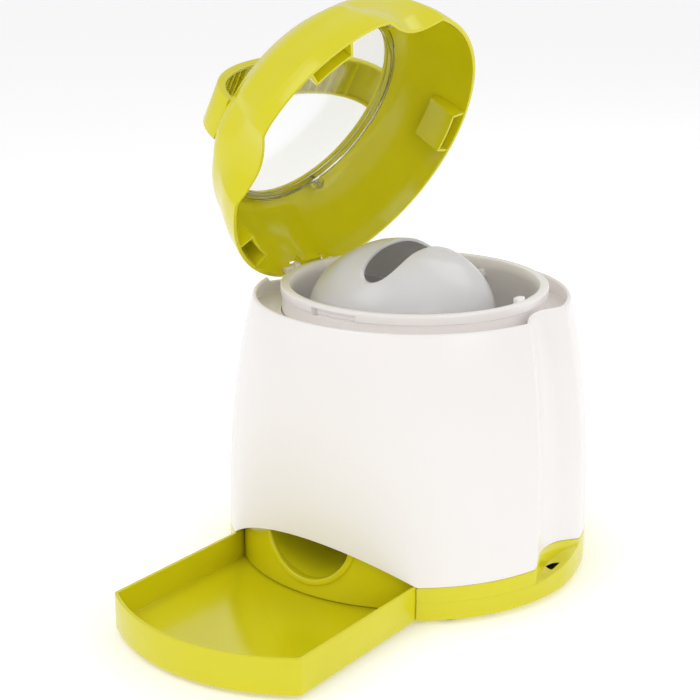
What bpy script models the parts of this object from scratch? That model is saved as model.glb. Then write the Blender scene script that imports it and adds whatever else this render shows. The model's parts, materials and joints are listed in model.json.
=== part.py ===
"""Automatic pet feeder: hinged lid with a clear window, food hopper with a motor-driven agitator,
a chute under an arched front, and a drawer-like tray.

Sizes are in millimetres and become metres when a mesh is made. The front of the feeder faces -Y,
azimuths are counted from the front towards +X, and z is the height over the table.
"""

import math

import bmesh
import bpy
from mathutils import Matrix, Vector

MM = 0.001
GAP = 0.3
WELD = 0.000004

# Body shell
SHELL_LOW = 21.6
SHELL_TOP = 154.0
SHELL_RADIUS_LOW = 103.6
SHELL_RADIUS_TOP = 90.4
SHELL_BULGE = 2.6
SHELL_WALL = 2.4
BACK_STEP_LOW = 1.5
BACK_STEP_TOP = 3.5
FORWARD_LEAN = 3.4
FLUTE_CENTRE = 89.75
FLUTE_HALF = 14.25
FLUTE_DEPTH_LOW = 7.5
FLUTE_DEPTH_TOP = 10.8
SEAM_RISE = 6.6
DECK_TOP = SHELL_TOP - 10.0
DECK_THICK = 2.0
ARCH_RADIUS = 105.0
ARCH_TOP = 41.7
ARCH_HALF = 62.0

# Hopper collar and bowl
COLLAR_RADIUS = 75.0
COLLAR_TOP = SHELL_TOP + 5.5
COLLAR_WALL = 5.5
COLLAR_STEP = 0.8
COLLAR_STEP_HEIGHT = SHELL_TOP
BOWL_WALL = 2.2
BOWL_NECK_RADIUS = COLLAR_RADIUS - 12.0
BOWL_FLOOR = 60.0
RECESS_STARTS = (-11.8, 116.3, -107.0)
RECESS_SWEEP = 21.5
RECESS_DEPTH = 1.3
RECESS_LOW = SHELL_TOP - 1.4
RECESS_HIGH = SHELL_TOP + 3.6
PORT_RADIUS = 16.0
PORT_CENTRE = 45.0

# Agitator
DOME_BASE = SHELL_TOP - 14.0
DOME_RADIUS = COLLAR_RADIUS - 22.0
DOME_OFFSET = 7.0
DOME_OFFSET_AZIMUTH = -54.0
DOME_HEIGHT = 42.0
DOME_WALL = 1.8
SLOT_HALF = 10.0
SLOT_LOW = DOME_BASE + 27.0

# Drive train
SHAFT_RADIUS = 4.0
RUNNING_GAP = 0.08
GEAR_MODULE = 1.5
GEAR_TEETH = 32
PINION_TEETH = 10
GEAR_LOW = 47.0
GEAR_HIGH = 53.0
MOTOR_RADIUS = 12.0
MOTOR_HIGH = 43.0

# Base and tray
BASE_LOW = 2.3
BASE_TOP = SHELL_LOW - GAP
BASE_WALL = 2.4
BASE_FLOOR = 1.8
BASE_RADIUS = SHELL_RADIUS_LOW
LIP_FRONT = 13.0
LIP_BACK = 20.0
TRAY_HALF = 61.2
TRAY_WALL = 2.0
TRAY_TOP = 22.0
TRAY_FLOOR = 1.6
TRAY_RADIUS = BASE_RADIUS - 0.5
TRAY_TRAVEL = 97.0
TRAY_BACK = 16.0
BAY_HALF = TRAY_HALF + 0.5
BAY_BACK = TRAY_BACK + 2.0
FOOT_RADIUS = 6.0
FOOT_REACH = BASE_RADIUS - 10.6
FOOT_AZIMUTHS = (47.0, 133.0, -133.0, -47.0)
POST_AZIMUTHS = (60.0, 125.0, -125.0, -60.0)
POST_REACH = BASE_RADIUS - 6.6
POST_RADIUS = 4.0

# Chute
CHUTE_RADIUS = TRAY_RADIUS - TRAY_WALL - 3.1
CHUTE_WALL = 2.4
CHUTE_HALF = TRAY_HALF - TRAY_WALL - 0.8
CHUTE_LOW = 6.6
CHUTE_TOP = 46.0
SCOOP_RADIUS = 27.0
SCOOP_CENTRE = 43.0
SCOOP_RIM = 3.6
SCOOP_PROUD = 1.4
SCOOP_SLOPE = 0.35
SCOOP_LENGTH = 71.0
SCOOP_TOP = CHUTE_TOP + 11.2

# Batteries and electronics
CELL_RADIUS = 7.2
CELL_LENGTH = 50.0
CELL_MIDDLE = 62.0
CELL_ROWS = (CELL_MIDDLE - CELL_RADIUS - 0.8, CELL_MIDDLE + CELL_RADIUS + 0.8)
CELL_HEIGHT = CELL_RADIUS + 5.4
BOX_TOP = CELL_HEIGHT + CELL_RADIUS + 3.2
MOTOR_LOW = BOX_TOP + 1.0

# Lid, in its own frame: its rim lies at h = 0 and its front faces -Y
LID_RADIUS = SHELL_RADIUS_TOP - 1.0
LID_WALL = 2.2
LID_TWIST = -6.2
LID_RIM = SHELL_TOP + 0.4
LID_OPEN = 61.2
HINGE_REACH = LID_RADIUS - 6.8
HINGE_HEIGHT = SHELL_TOP + 1.2
HINGE_RADIUS = 3.0
HINGE_PIN_RADIUS = 1.5
HINGE_HALF = 13.0
WINDOW_OPENING = LID_RADIUS - 28.5
LID_TILT = 4.0
LID_TILT_AZIMUTH = 20.0
LID_PINCH = 4.0
WINDOW_PLANE = 45.4
PANE_TOP = WINDOW_PLANE + 2.4
RING_GAP = 0.4
CROWN_TOP = PANE_TOP + RING_GAP + 2.4
LID_FLUTES = (0.0, 91.0, -91.0)
LID_FLUTE_HALF = 14.5
LID_FLUTE_DEPTH = 9.5
LID_FLUTE_FADE = 0.85
PAD_AZIMUTHS = (50.0, -48.0, 179.0)
PAD_SWEEP = 19.0
PAD_INNER = COLLAR_RADIUS + 2.4
PAD_HEIGHT = 20.0
HANDLE_HALF_LENGTH = WINDOW_OPENING + 3.1
HANDLE_FOOT = CROWN_TOP - 1.7
HANDLE_RISE = 28.0
HANDLE_SQUARENESS = 2.4
HANDLE_HALF_WIDTH = 13.0
HANDLE_DEPTH = 5.0
HANDLE_SKIN = 1.8
HANDLE_RIBS = (30.0, 36.5, 43.0, 49.5, 56.0)
EAR_AZIMUTHS = (0.0, 120.0, -120.0)
EAR_REACH = WINDOW_OPENING + 5.9
EAR_RADIUS = 3.9
BOSS_RADIUS = 2.4


# ---------------------------------------------------------------- tools

def clear_scene():
    for obj in list(bpy.data.objects):
        bpy.data.objects.remove(obj)


def material(name, colour, roughness, metallic=0.0, alpha=1.0):
    found = bpy.data.materials.get(name)
    if found:
        return found
    made = bpy.data.materials.new(name)
    made.use_nodes = True
    shader = made.node_tree.nodes["Principled BSDF"]
    shader.inputs["Base Color"].default_value = (*colour, 1.0)
    shader.inputs["Roughness"].default_value = roughness
    shader.inputs["Metallic"].default_value = metallic
    shader.inputs["Alpha"].default_value = alpha
    return made


def make_object(name, points, faces, finish):
    """An object from points in millimetres, with doubles merged and its faces turned outwards."""
    mesh = bmesh.new()
    verts = [mesh.verts.new(Vector(p) * MM) for p in points]
    for face in faces:
        mesh.faces.new([verts[i] for i in face])
    bmesh.ops.remove_doubles(mesh, verts=mesh.verts, dist=1e-6)
    bmesh.ops.recalc_face_normals(mesh, faces=mesh.faces)
    data = bpy.data.meshes.new(name)
    mesh.to_mesh(data)
    mesh.free()
    data.materials.append(finish)
    obj = bpy.data.objects.new(name, data)
    bpy.context.scene.collection.objects.link(obj)
    return obj


def polar(radius, azimuth, z=0.0):
    turn = math.radians(azimuth)
    return (radius * math.sin(turn), -radius * math.cos(turn), z)


def around(steps):
    return [360.0 * i / steps for i in range(steps)]


def sweep(name, profile, azimuths, finish, shift=None):
    """A closed (r, z) outline, profile(azimuth), carried round the z axis.

    The sweep closes on itself unless the first and last azimuths are ends, marked by None at the end.
    """
    is_ring = azimuths[-1] is not None
    stations = azimuths if is_ring else azimuths[:-1]
    points = []
    for azimuth in stations:
        for r, z in profile(azimuth):
            x, y, _ = polar(r, azimuth)
            points.append((x, y + (shift(z) if shift else 0.0), z))
    count = len(points) // len(stations)
    faces = []
    for i in range(len(stations) if is_ring else len(stations) - 1):
        j = (i + 1) % len(stations)
        for k in range(count):
            m = (k + 1) % count
            faces.append((i * count + k, i * count + m, j * count + m, j * count + k))
    if not is_ring:
        faces.append(tuple(range(count)))
        faces.append(tuple((len(stations) - 1) * count + k for k in range(count)))
    return make_object(name, points, faces, finish)


def turned(name, outline, finish, steps=40, at=(0.0, 0.0)):
    """A solid turned round a vertical axis at the given place; outline points may lie on the axis."""
    obj = sweep(name, lambda azimuth: outline, around(steps), finish)
    obj.data.transform(Matrix.Translation((at[0] * MM, at[1] * MM, 0.0)))
    return obj


def cylinder(name, radius, low, high, finish, at=(0.0, 0.0), steps=28):
    return turned(name, [(0.0, low), (radius, low), (radius, high), (0.0, high)], finish, steps, at)


def box(name, low, high, finish):
    corners = [(x, y, z) for z in (low[2], high[2]) for y in (low[1], high[1]) for x in (low[0], high[0])]
    faces = [(0, 1, 3, 2), (4, 5, 7, 6), (0, 1, 5, 4), (2, 3, 7, 6), (0, 2, 6, 4), (1, 3, 7, 5)]
    return make_object(name, corners, faces, finish)


def loft(name, rings, finish):
    """Rings of equal point counts joined in order, with both ends capped."""
    count = len(rings[0])
    faces = [tuple(range(count)), tuple((len(rings) - 1) * count + k for k in range(count))]
    for i in range(len(rings) - 1):
        for k in range(count):
            m = (k + 1) % count
            faces.append((i * count + k, i * count + m, (i + 1) * count + m, (i + 1) * count + k))
    return make_object(name, [p for ring in rings for p in ring], faces, finish)


def tidy(data):
    """Removes the hair-thin faces and doubled points that joining and cutting leave."""
    mesh = bmesh.new()
    mesh.from_mesh(data)
    bmesh.ops.remove_doubles(mesh, verts=mesh.verts, dist=WELD)
    bmesh.ops.dissolve_degenerate(mesh, edges=mesh.edges, dist=WELD)
    mesh.to_mesh(data)
    mesh.free()


def combine(obj, tools, operation):
    """Joins each tool to the object, or cuts it from it, and keeps only the result."""
    for tool in tools:
        modifier = obj.modifiers.new(operation.lower(), "BOOLEAN")
        modifier.operation = operation
        modifier.solver = "EXACT"
        modifier.object = tool
        bpy.context.view_layer.update()
        graph = bpy.context.evaluated_depsgraph_get()
        result = bpy.data.meshes.new_from_object(obj.evaluated_get(graph))
        obj.modifiers.clear()
        obj.data = result
        tidy(result)
        bpy.data.objects.remove(tool)
    return obj


def join(obj, *tools):
    return combine(obj, tools, "UNION")


def cut(obj, *tools):
    return combine(obj, tools, "DIFFERENCE")


def finish_shading():
    for obj in bpy.data.objects:
        if obj.type == "MESH":
            obj.data.shade_smooth()
            obj.data.set_sharp_from_angle(angle=math.radians(32))


# ---------------------------------------------------------------- shared outlines

def height_share(z):
    return min(max((z - SHELL_LOW) / (SHELL_TOP - SHELL_LOW), 0.0), 1.0)


def lean(z):
    """How far the outer skin's centre stands forward of the collar's axis."""
    return -FORWARD_LEAN * (1.0 - height_share(z))


def scallop(azimuth, centre, half):
    """1 in the middle of a flute, 0 at its two edges and beyond."""
    off = (azimuth - centre + 180.0) % 360.0 - 180.0
    return max(0.0, 1.0 - (off / half) ** 2)


def flute(azimuth, share):
    depth = FLUTE_DEPTH_LOW + (FLUTE_DEPTH_TOP - FLUTE_DEPTH_LOW) * share
    return depth * max(scallop(azimuth, side, FLUTE_HALF) for side in (FLUTE_CENTRE, -FLUTE_CENTRE))


def seam_rise(azimuth):
    """How far the seam between shell and base climbs in a flute: steeply at its front edge, then falling away."""
    turn = abs((azimuth + 180.0) % 360.0 - 180.0)
    share = (turn - FLUTE_CENTRE + FLUTE_HALF) / (2.0 * FLUTE_HALF)
    return SEAM_RISE * min(1.0, share / 0.1) * (1.0 - share ** 2) if 0.0 < share < 1.0 else 0.0


def skin_radius(azimuth, z):
    share = height_share(z)
    radius = SHELL_RADIUS_LOW - (SHELL_RADIUS_LOW - SHELL_RADIUS_TOP) * share ** SHELL_BULGE
    turn = abs((azimuth + 180.0) % 360.0 - 180.0)
    step = BACK_STEP_LOW + (BACK_STEP_TOP - BACK_STEP_LOW) * share
    behind = min(max((turn - FLUTE_CENTRE) / FLUTE_HALF, 0.0), 1.0)
    return radius - step * behind - flute(azimuth, share)


def fluted_azimuths(centres, half, plain, fine):
    """Azimuths all the way round: fine steps across each flute, wider steps between them."""
    edges = sorted((c + side * half) % 360.0 for c in centres for side in (-1, 1))
    inside = sorted(c % 360.0 for c in centres)
    found = []
    for start, end in zip(edges, edges[1:] + [edges[0] + 360.0]):
        middle = ((start + end) / 2.0) % 360.0
        is_flute = any(abs((middle - c + 180.0) % 360.0 - 180.0) < half for c in inside)
        steps = fine if is_flute else max(2, round((end - start) / plain))
        found += [start + (end - start) * i / steps for i in range(steps)]
    return [a % 360.0 for a in found]


# ---------------------------------------------------------------- body

def shell_bottom(azimuth):
    """The shell's lower edge, which rises in a round arch over the chute."""
    x = skin_radius(azimuth, SHELL_LOW) * math.sin(math.radians(azimuth))
    if abs(x) > ARCH_HALF or math.cos(math.radians(azimuth)) < 0.0:
        return SHELL_LOW + seam_rise(azimuth)
    return max(SHELL_LOW, ARCH_TOP - ARCH_RADIUS + math.sqrt(ARCH_RADIUS ** 2 - x ** 2))


def shell_profile(azimuth):
    bottom = shell_bottom(azimuth)
    heights = [bottom + (SHELL_TOP - 1.5 - bottom) * share for share in (0, 0.2, 0.4, 0.58, 0.74, 0.88, 1)]
    outer = [(skin_radius(azimuth, z), z) for z in heights]
    top = skin_radius(azimuth, SHELL_TOP)
    lip = [(top - 0.5, SHELL_TOP - 0.3), (top - 1.5, SHELL_TOP), (top - SHELL_WALL, SHELL_TOP - 0.6)]
    trench = [(top - SHELL_WALL, DECK_TOP), (COLLAR_RADIUS + GAP, DECK_TOP)]
    under = [(COLLAR_RADIUS + GAP, DECK_TOP - DECK_THICK)]
    inner = [(skin_radius(azimuth, z) - SHELL_WALL, z) for z in (DECK_TOP - DECK_THICK, heights[4], heights[2], bottom)]
    return outer + lip + trench + under + inner


def hinge_place():
    return polar(HINGE_REACH, -90.0 + LID_TWIST, HINGE_HEIGHT)


def hinge_frame():
    """Maps a frame with x outwards, y along the pin and its origin on the pin's middle to the feeder's."""
    x, y, z = hinge_place()
    return Matrix.Translation((x * MM, y * MM, z * MM)) @ Matrix.Rotation(math.radians(180.0 + LID_TWIST), 4, "Z")


def along_pin(name, radius, start, end, finish, steps=20):
    obj = cylinder(name, radius, start, end, finish, steps=steps)
    obj.data.transform(Matrix.Rotation(math.radians(-90.0), 4, "X"))
    return obj


def body_shell(white):
    azimuths = fluted_azimuths((FLUTE_CENTRE, -FLUTE_CENTRE), FLUTE_HALF, 5.0, 10)
    shell = sweep("body_shell", shell_profile, azimuths, white, lean)
    posts = []
    for azimuth in POST_AZIMUTHS:
        x, y, _ = polar(POST_REACH, azimuth)
        posts.append(cylinder("post", POST_RADIUS + 1.0, SHELL_LOW + 0.4, 40.0, white, (x, y + lean(0.0)), 16))
    join(shell, *posts)
    notch = box("notch", (-14.0, -31.0, -4.2), (14.0, 31.0, 6.0), white)
    notch.data.transform(hinge_frame())
    holes = [notch]
    for azimuth in POST_AZIMUTHS:
        x, y, _ = polar(POST_REACH, azimuth)
        holes.append(cylinder("hole", 1.6, SHELL_LOW - 1.0, 36.0, white, (x, y + lean(0.0)), 12))
    cut(shell, *holes)
    ears = []
    for side in (-1, 1):
        start, end = sorted((8.6 * side, 13.0 * side))
        ear = box("ear", (-5.2, start, -16.0), (3.0, end, -3.4), white)
        join(ear, box("neck", (-2.9, start, -5.0), (2.9, end, 0.0), white),
             along_pin("knuckle", HINGE_RADIUS, start, end, white))
        ear.data.transform(hinge_frame())
        ears.append(ear)
    join(shell, *ears)
    bore = along_pin("bore", HINGE_PIN_RADIUS + RUNNING_GAP, -20.0, 20.0, white)
    bore.data.transform(hinge_frame())
    return cut(shell, bore)


# ---------------------------------------------------------------- hopper

def arc_block(name, start, sweep_by, inner, outer, low, high, finish, steps=6):
    """A curved block with a rectangular section, from one azimuth over a sweep."""
    azimuths = [start + sweep_by * i / steps for i in range(steps + 1)] + [None]
    return sweep(name, lambda azimuth: [(inner, low), (outer, low), (outer, high), (inner, high)], azimuths, finish)


def hopper_bowl(white):
    inner_top = COLLAR_RADIUS - COLLAR_WALL
    lower = COLLAR_RADIUS - COLLAR_STEP
    outline = [
        (SHAFT_RADIUS + 3.0, BOWL_FLOOR - BOWL_WALL),
        (BOWL_NECK_RADIUS + BOWL_WALL, BOWL_FLOOR - BOWL_WALL),
        (BOWL_NECK_RADIUS + BOWL_WALL, 98.0),
        (lower, 122.0),
        (lower, COLLAR_STEP_HEIGHT),
        (COLLAR_RADIUS, COLLAR_STEP_HEIGHT + 0.5),
        (COLLAR_RADIUS, COLLAR_TOP - 0.8),
        (COLLAR_RADIUS - 0.8, COLLAR_TOP),
        (inner_top + 1.2, COLLAR_TOP),
        (inner_top, COLLAR_TOP - 1.4),
        (inner_top - 0.6, COLLAR_TOP - 6.0),
        (lower - BOWL_WALL - 0.6, COLLAR_TOP - 12.0),
        (lower - BOWL_WALL, 123.0),
        (BOWL_NECK_RADIUS, 99.0),
        (BOWL_NECK_RADIUS, BOWL_FLOOR),
        (SHAFT_RADIUS + 3.0, BOWL_FLOOR),
    ]
    bowl = turned("hopper_bowl", outline, white, 64)
    tools = []
    for start in RECESS_STARTS:
        outer = COLLAR_RADIUS + 2.0
        tools.append(arc_block("recess", start, RECESS_SWEEP, COLLAR_RADIUS - RECESS_DEPTH, outer,
                               RECESS_LOW + 0.6, RECESS_HIGH, white))
        tools.append(arc_block("slit", start - 1.2, 2.4, COLLAR_RADIUS - 3.4, outer,
                               RECESS_LOW, RECESS_HIGH + 0.4, white, 1))
    cut(bowl, *tools)
    cut(bowl, cylinder("port", PORT_RADIUS, BOWL_FLOOR - 6.0, BOWL_FLOOR + 4.0, white, (0.0, -PORT_CENTRE), 24))
    tooth = arc_block("tooth", 84.5, 5.0, inner_top - 1.5, inner_top + 2.4, COLLAR_TOP - 5.0, COLLAR_TOP + 2.2, white, 2)
    tab = arc_block("tab", 176.8, 3.2, inner_top - 2.4, inner_top + 1.0, COLLAR_TOP - 11.5, COLLAR_TOP - 7.0, white, 1)
    return join(bowl, tooth, tab)


# ---------------------------------------------------------------- agitator and drive

def dome_point(share, azimuth, wall):
    """A point on the dome, from share 0 at its rim to 1 at its crown."""
    rise = math.radians(90.0 * share)
    offset = math.cos(math.radians(azimuth - DOME_OFFSET_AZIMUTH))
    radius = (DOME_RADIUS + DOME_OFFSET * offset - wall) * math.cos(rise)
    height = (DOME_HEIGHT + 2.0 * offset - wall) * math.sin(rise)
    return polar(radius, azimuth, DOME_BASE + height)


def agitator(clear):
    steps = 48
    shares = [i / 10.0 for i in range(10)]
    azimuths = around(steps)
    points = [dome_point(s, a, wall) for wall in (0.0, DOME_WALL) for s in shares for a in azimuths]
    points.append((0.0, 0.0, DOME_BASE + DOME_HEIGHT))
    points.append((0.0, 0.0, DOME_BASE + DOME_HEIGHT - DOME_WALL))
    faces = []
    rows = len(shares)
    for layer in range(2):
        first = layer * rows * steps
        for i in range(steps):
            j = (i + 1) % steps
            for row in range(rows - 1):
                low = first + row * steps
                faces.append((low + i, low + j, low + steps + j, low + steps + i))
            top = first + (rows - 1) * steps
            faces.append((top + i, top + j, 2 * rows * steps + layer))
    for i in range(steps):
        j = (i + 1) % steps
        faces.append((i, j, rows * steps + j, rows * steps + i))
    dome = make_object("agitator", points, faces, clear)
    section = [(SLOT_HALF * math.cos(t), SLOT_LOW + SLOT_HALF + SLOT_HALF * math.sin(t))
               for t in [math.pi + math.pi * i / 8.0 for i in range(9)]]
    section += [(SLOT_HALF, DOME_BASE + 60.0), (-SLOT_HALF, DOME_BASE + 60.0)]
    slot = loft("slot", [[(x, y, z) for x, z in section] for y in (-80.0, 80.0)], clear)
    cut(dome, slot)
    hub = turned("hub", [(SHAFT_RADIUS + RUNNING_GAP, DOME_BASE - 12.0), (9.0, DOME_BASE - 12.0),
                         (9.0, DOME_BASE + 20.0), (SHAFT_RADIUS + RUNNING_GAP, DOME_BASE + 20.0)],
                 clear, 24)
    web = box("web", (-50.0, -1.0, DOME_BASE - 10.0), (-7.0, 1.0, DOME_BASE + 18.0), clear)
    other = box("web", (7.0, -1.0, DOME_BASE - 10.0), (42.5, 1.0, DOME_BASE + 18.0), clear)
    return join(dome, hub, web, other)


def portion_wheel(green):
    wheel = turned("portion_wheel", [(SHAFT_RADIUS + RUNNING_GAP, 62.6), (9.0, 62.6), (9.0, 94.0),
                                     (SHAFT_RADIUS + RUNNING_GAP, 94.0)], green, 24)
    vanes = []
    for i in range(6):
        vane = box("vane", (7.5, -1.1, 62.6), (BOWL_NECK_RADIUS - 1.2, 1.1, 92.0), green)
        vane.data.transform(Matrix.Rotation(math.radians(60.0 * i), 4, "Z"))
        vanes.append(vane)
    return join(wheel, *vanes)


def gear(name, teeth, low, high, bore, finish, at, turn):
    """A spur gear with straight-flanked teeth, thinned a little for backlash."""
    pitch = GEAR_MODULE * teeth / 2.0
    tooth = 360.0 / teeth
    shape = ((-0.27, pitch - 1.8), (-0.10, pitch + 1.25), (0.10, pitch + 1.25), (0.27, pitch - 1.8))
    outline = [polar(r, turn + tooth * (i + share)) for i in range(teeth) for share, r in shape]
    ring = [[(x + at[0], y + at[1], z) for x, y, _ in outline] for z in (low, high)]
    wheel = loft(name, ring, finish)
    return cut(wheel, cylinder("bore", bore, low - 2.0, high + 2.0, finish, at, 20))


def drive(steel, nylon, motor_grey, white):
    distance = GEAR_MODULE * (GEAR_TEETH + PINION_TEETH) / 2.0
    motor_at = (0.0, distance)
    cylinder("drive_shaft", SHAFT_RADIUS, 38.0, DOME_BASE + 18.0, steel, steps=24)
    turned("shaft_bush", [(SHAFT_RADIUS + RUNNING_GAP, 55.0), (9.0, 55.0), (9.0, BOWL_FLOOR - BOWL_WALL - GAP),
                          (SHAFT_RADIUS + 3.0 - GAP, BOWL_FLOOR - BOWL_WALL - GAP),
                          (SHAFT_RADIUS + 3.0 - GAP, 62.0), (SHAFT_RADIUS + RUNNING_GAP, 62.0)], nylon, 28)
    gear("drive_gear", GEAR_TEETH, GEAR_LOW, GEAR_HIGH, SHAFT_RADIUS + RUNNING_GAP, nylon, (0.0, 0.0), 180.0)
    gear("motor_pinion", PINION_TEETH, GEAR_LOW - 1.0, GEAR_HIGH + 0.8, 1.0 + RUNNING_GAP, nylon, motor_at,
         180.0 / PINION_TEETH)
    turned("motor", [(0.0, MOTOR_LOW), (MOTOR_RADIUS - 1.5, MOTOR_LOW), (MOTOR_RADIUS, MOTOR_LOW + 1.5),
                     (MOTOR_RADIUS, MOTOR_HIGH), (4.0, MOTOR_HIGH), (4.0, MOTOR_HIGH + 1.2), (1.0, MOTOR_HIGH + 1.2),
                     (1.0, GEAR_HIGH), (0.0, GEAR_HIGH)], motor_grey, 28, motor_at)
    plate = box("motor_bracket", (-17.0, -20.0, 40.6), (17.0, distance + 17.0, 42.6), white)
    cut(plate, cylinder("seat", MOTOR_RADIUS + GAP, 38.0, 46.0, white, motor_at, 28),
        cylinder("seat", SHAFT_RADIUS + RUNNING_GAP, 38.0, 46.0, white, steps=24))
    return plate


# ---------------------------------------------------------------- chute

def trough_ring(y, radius, inner):
    """A half-pipe section across the chute at depth y, which climbs towards the back."""
    centre = SCOOP_CENTRE + (y + CHUTE_RADIUS) * SCOOP_SLOPE
    turns = [math.pi + math.pi * i / 12.0 for i in range(13)]
    outer = [(radius * math.cos(t), y, centre + radius * math.sin(t)) for t in turns]
    return outer + [(inner * math.cos(t), y, centre + inner * math.sin(t)) for t in reversed(turns)]


def chute(green):
    edge = math.degrees(math.asin(CHUTE_HALF / CHUTE_RADIUS))
    wall = arc_block("chute", -edge, 2.0 * edge, CHUTE_RADIUS - CHUTE_WALL, CHUTE_RADIUS, CHUTE_LOW, CHUTE_TOP, green, 24)
    wall.data.transform(Matrix.Translation((0.0, -FORWARD_LEAN * MM, 0.0)))
    front = -CHUTE_RADIUS - FORWARD_LEAN
    rim = loft("rim", [trough_ring(y, SCOOP_RADIUS + SCOOP_RIM, SCOOP_RADIUS - 0.4) for y in (front - 9.0, front + 12.0)], green)
    bound = cylinder("bound", CHUTE_RADIUS + SCOOP_PROUD, 0.0, 80.0, green, (0.0, -FORWARD_LEAN), 96)
    combine(rim, [bound], "INTERSECT")
    cutter_rings = []
    for y in (front - 6.0, front + 11.0):
        centre = SCOOP_CENTRE + (y + CHUTE_RADIUS) * SCOOP_SLOPE
        arc = [math.pi + math.pi * i / 16.0 for i in range(17)]
        low = [(SCOOP_RADIUS * math.cos(t), y, centre + SCOOP_RADIUS * math.sin(t)) for t in arc]
        cutter_rings.append(low + [(SCOOP_RADIUS, y, 90.0), (-SCOOP_RADIUS, y, 90.0)])
    scoop = loft("scoop", cutter_rings, green)
    trough = loft("trough", [trough_ring(y, SCOOP_RADIUS + 2.0, SCOOP_RADIUS) for y in (front + 3.0, front + 3.0 + SCOOP_LENGTH)],
                  green)
    join(wall, rim)
    cut(wall, scoop)
    join(wall, trough)
    return cut(wall, box("trim", (-80.0, -130.0, CHUTE_TOP - 0.2), (80.0, front + 8.0, 90.0), green),
               box("trim", (-80.0, front + 7.0, SCOOP_TOP), (80.0, 0.0, 90.0), green))


# ---------------------------------------------------------------- base and tray

def base_profile(azimuth):
    share = 0.0
    turn = abs((azimuth + 180.0) % 360.0 - 180.0)
    lip = LIP_FRONT + (LIP_BACK - LIP_FRONT) * min(max((turn - FLUTE_CENTRE + FLUTE_HALF) / (2.0 * FLUTE_HALF), 0.0), 1.0)
    radius = BASE_RADIUS - BACK_STEP_LOW * min(max((turn - FLUTE_CENTRE) / FLUTE_HALF, 0.0), 1.0)
    dent = flute(azimuth, share)
    top = BASE_TOP + seam_rise(azimuth)
    return [
        (radius - BASE_WALL - dent, top),
        (radius - BASE_WALL - dent, lip - 2.0),
        (radius - BASE_WALL, lip - 4.0),
        (radius - BASE_WALL, BASE_LOW),
        (radius - 1.2, BASE_LOW),
        (radius - 0.2, BASE_LOW + 1.0),
        (radius, lip - 1.2),
        (radius - dent * 0.25, lip),
        (radius - dent, lip + 0.6),
        (radius - dent, top),
    ]


def base_tub(green):
    azimuths = fluted_azimuths((FLUTE_CENTRE, -FLUTE_CENTRE), FLUTE_HALF, 6.0, 10)
    shift = -FORWARD_LEAN
    tub = sweep("base_tub", base_profile, azimuths, green, lambda z: shift)
    floor = cylinder("floor", BASE_RADIUS - 2.0, BASE_LOW, BASE_LOW + BASE_FLOOR, green, (0.0, shift), 64)
    rails = [box("rail", (side * BAY_HALF if side > 0 else -BAY_HALF - 2.0, -84.0, BASE_LOW),
                 (BAY_HALF + 2.0 if side > 0 else -BAY_HALF, BAY_BACK + 2.0, BASE_TOP), green) for side in (-1, 1)]
    back = box("back_wall", (-BAY_HALF - 1.0, BAY_BACK, BASE_LOW), (BAY_HALF + 1.0, BAY_BACK + 2.0, BASE_TOP), green)
    posts = []
    for azimuth in POST_AZIMUTHS:
        x, y, _ = polar(POST_REACH, azimuth)
        posts.append(cylinder("post", POST_RADIUS, BASE_LOW + 0.5, BASE_TOP, green, (x, y + shift), 16))
    join(tub, floor, back, *rails, *posts)
    tools = [box("mouth", (-BAY_HALF, -130.0, BASE_LOW - 2.0), (BAY_HALF, -80.0, BASE_TOP + 2.0), green)]
    tongue = cylinder("tongue", TRAY_RADIUS - TRAY_WALL - 1.1, BASE_LOW - 3.0, BASE_TOP + 3.0, green, (0.0, shift), 64)
    tools[0] = cut(tools[0], tongue)
    tools.append(box("bay_front", (-BAY_HALF, -110.0, BASE_LOW + BASE_FLOOR), (BAY_HALF, -80.0, BASE_TOP + 2.0), green))
    for side in (-1, 1):
        inner = TRAY_HALF - TRAY_WALL - GAP
        low, high = sorted((side * inner, side * BAY_HALF))
        tools.append(box("slot", (low, -130.0, BASE_LOW - 2.0), (high, BAY_BACK - 0.2, BASE_LOW + BASE_FLOOR + 1.0), green))
    tools.append(box("door_opening", (-51.0, CELL_ROWS[0] - CELL_RADIUS - 0.8, 0.0), (51.0, CELL_ROWS[1] + CELL_RADIUS + 0.8, 9.0), green))
    for azimuth in POST_AZIMUTHS:
        x, y, _ = polar(POST_REACH, azimuth)
        tools.append(cylinder("hole", 1.8, 0.0, 30.0, green, (x, y + shift), 12))
    for azimuth in FOOT_AZIMUTHS:
        x, y, _ = polar(FOOT_REACH, azimuth)
        tools.append(cylinder("foot_hole", 2.3, 0.0, 8.0, green, (x, y + shift), 16))
    for side in (-1, 1):
        slit = box("slit", (-3.6, -9.0, 14.2), (3.6, 9.0, 18.0), green)
        slit.data.transform(Matrix.Translation((side * 97.0 * MM, shift * MM, 0.0)))
        tools.append(slit)
    tools.append(box("switch_window", (-20.0, 88.0, 9.5), (-12.2, 104.0, 14.5), green))
    button_hole = cylinder("button_hole", 4.3, 90.0, 106.0, green, steps=24)
    button_hole.data.transform(Matrix.Translation((15.0 * MM, 0.0, 12.0 * MM)) @ Matrix.Rotation(math.radians(-90.0), 4, "X"))
    tools.append(button_hole)
    return cut(tub, *tools)


def tray_outline(half, radius, back, steps=16):
    """The tray in plan: straight sides and a round front, pulled fully out."""
    edge = math.asin(half / radius)
    arc = [(radius * math.sin(t), -FORWARD_LEAN - radius * math.cos(t) - TRAY_TRAVEL)
           for t in [-edge + 2.0 * edge * i / steps for i in range(steps + 1)]]
    return [(-half, back - TRAY_TRAVEL)] + arc + [(half, back - TRAY_TRAVEL)]


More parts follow.
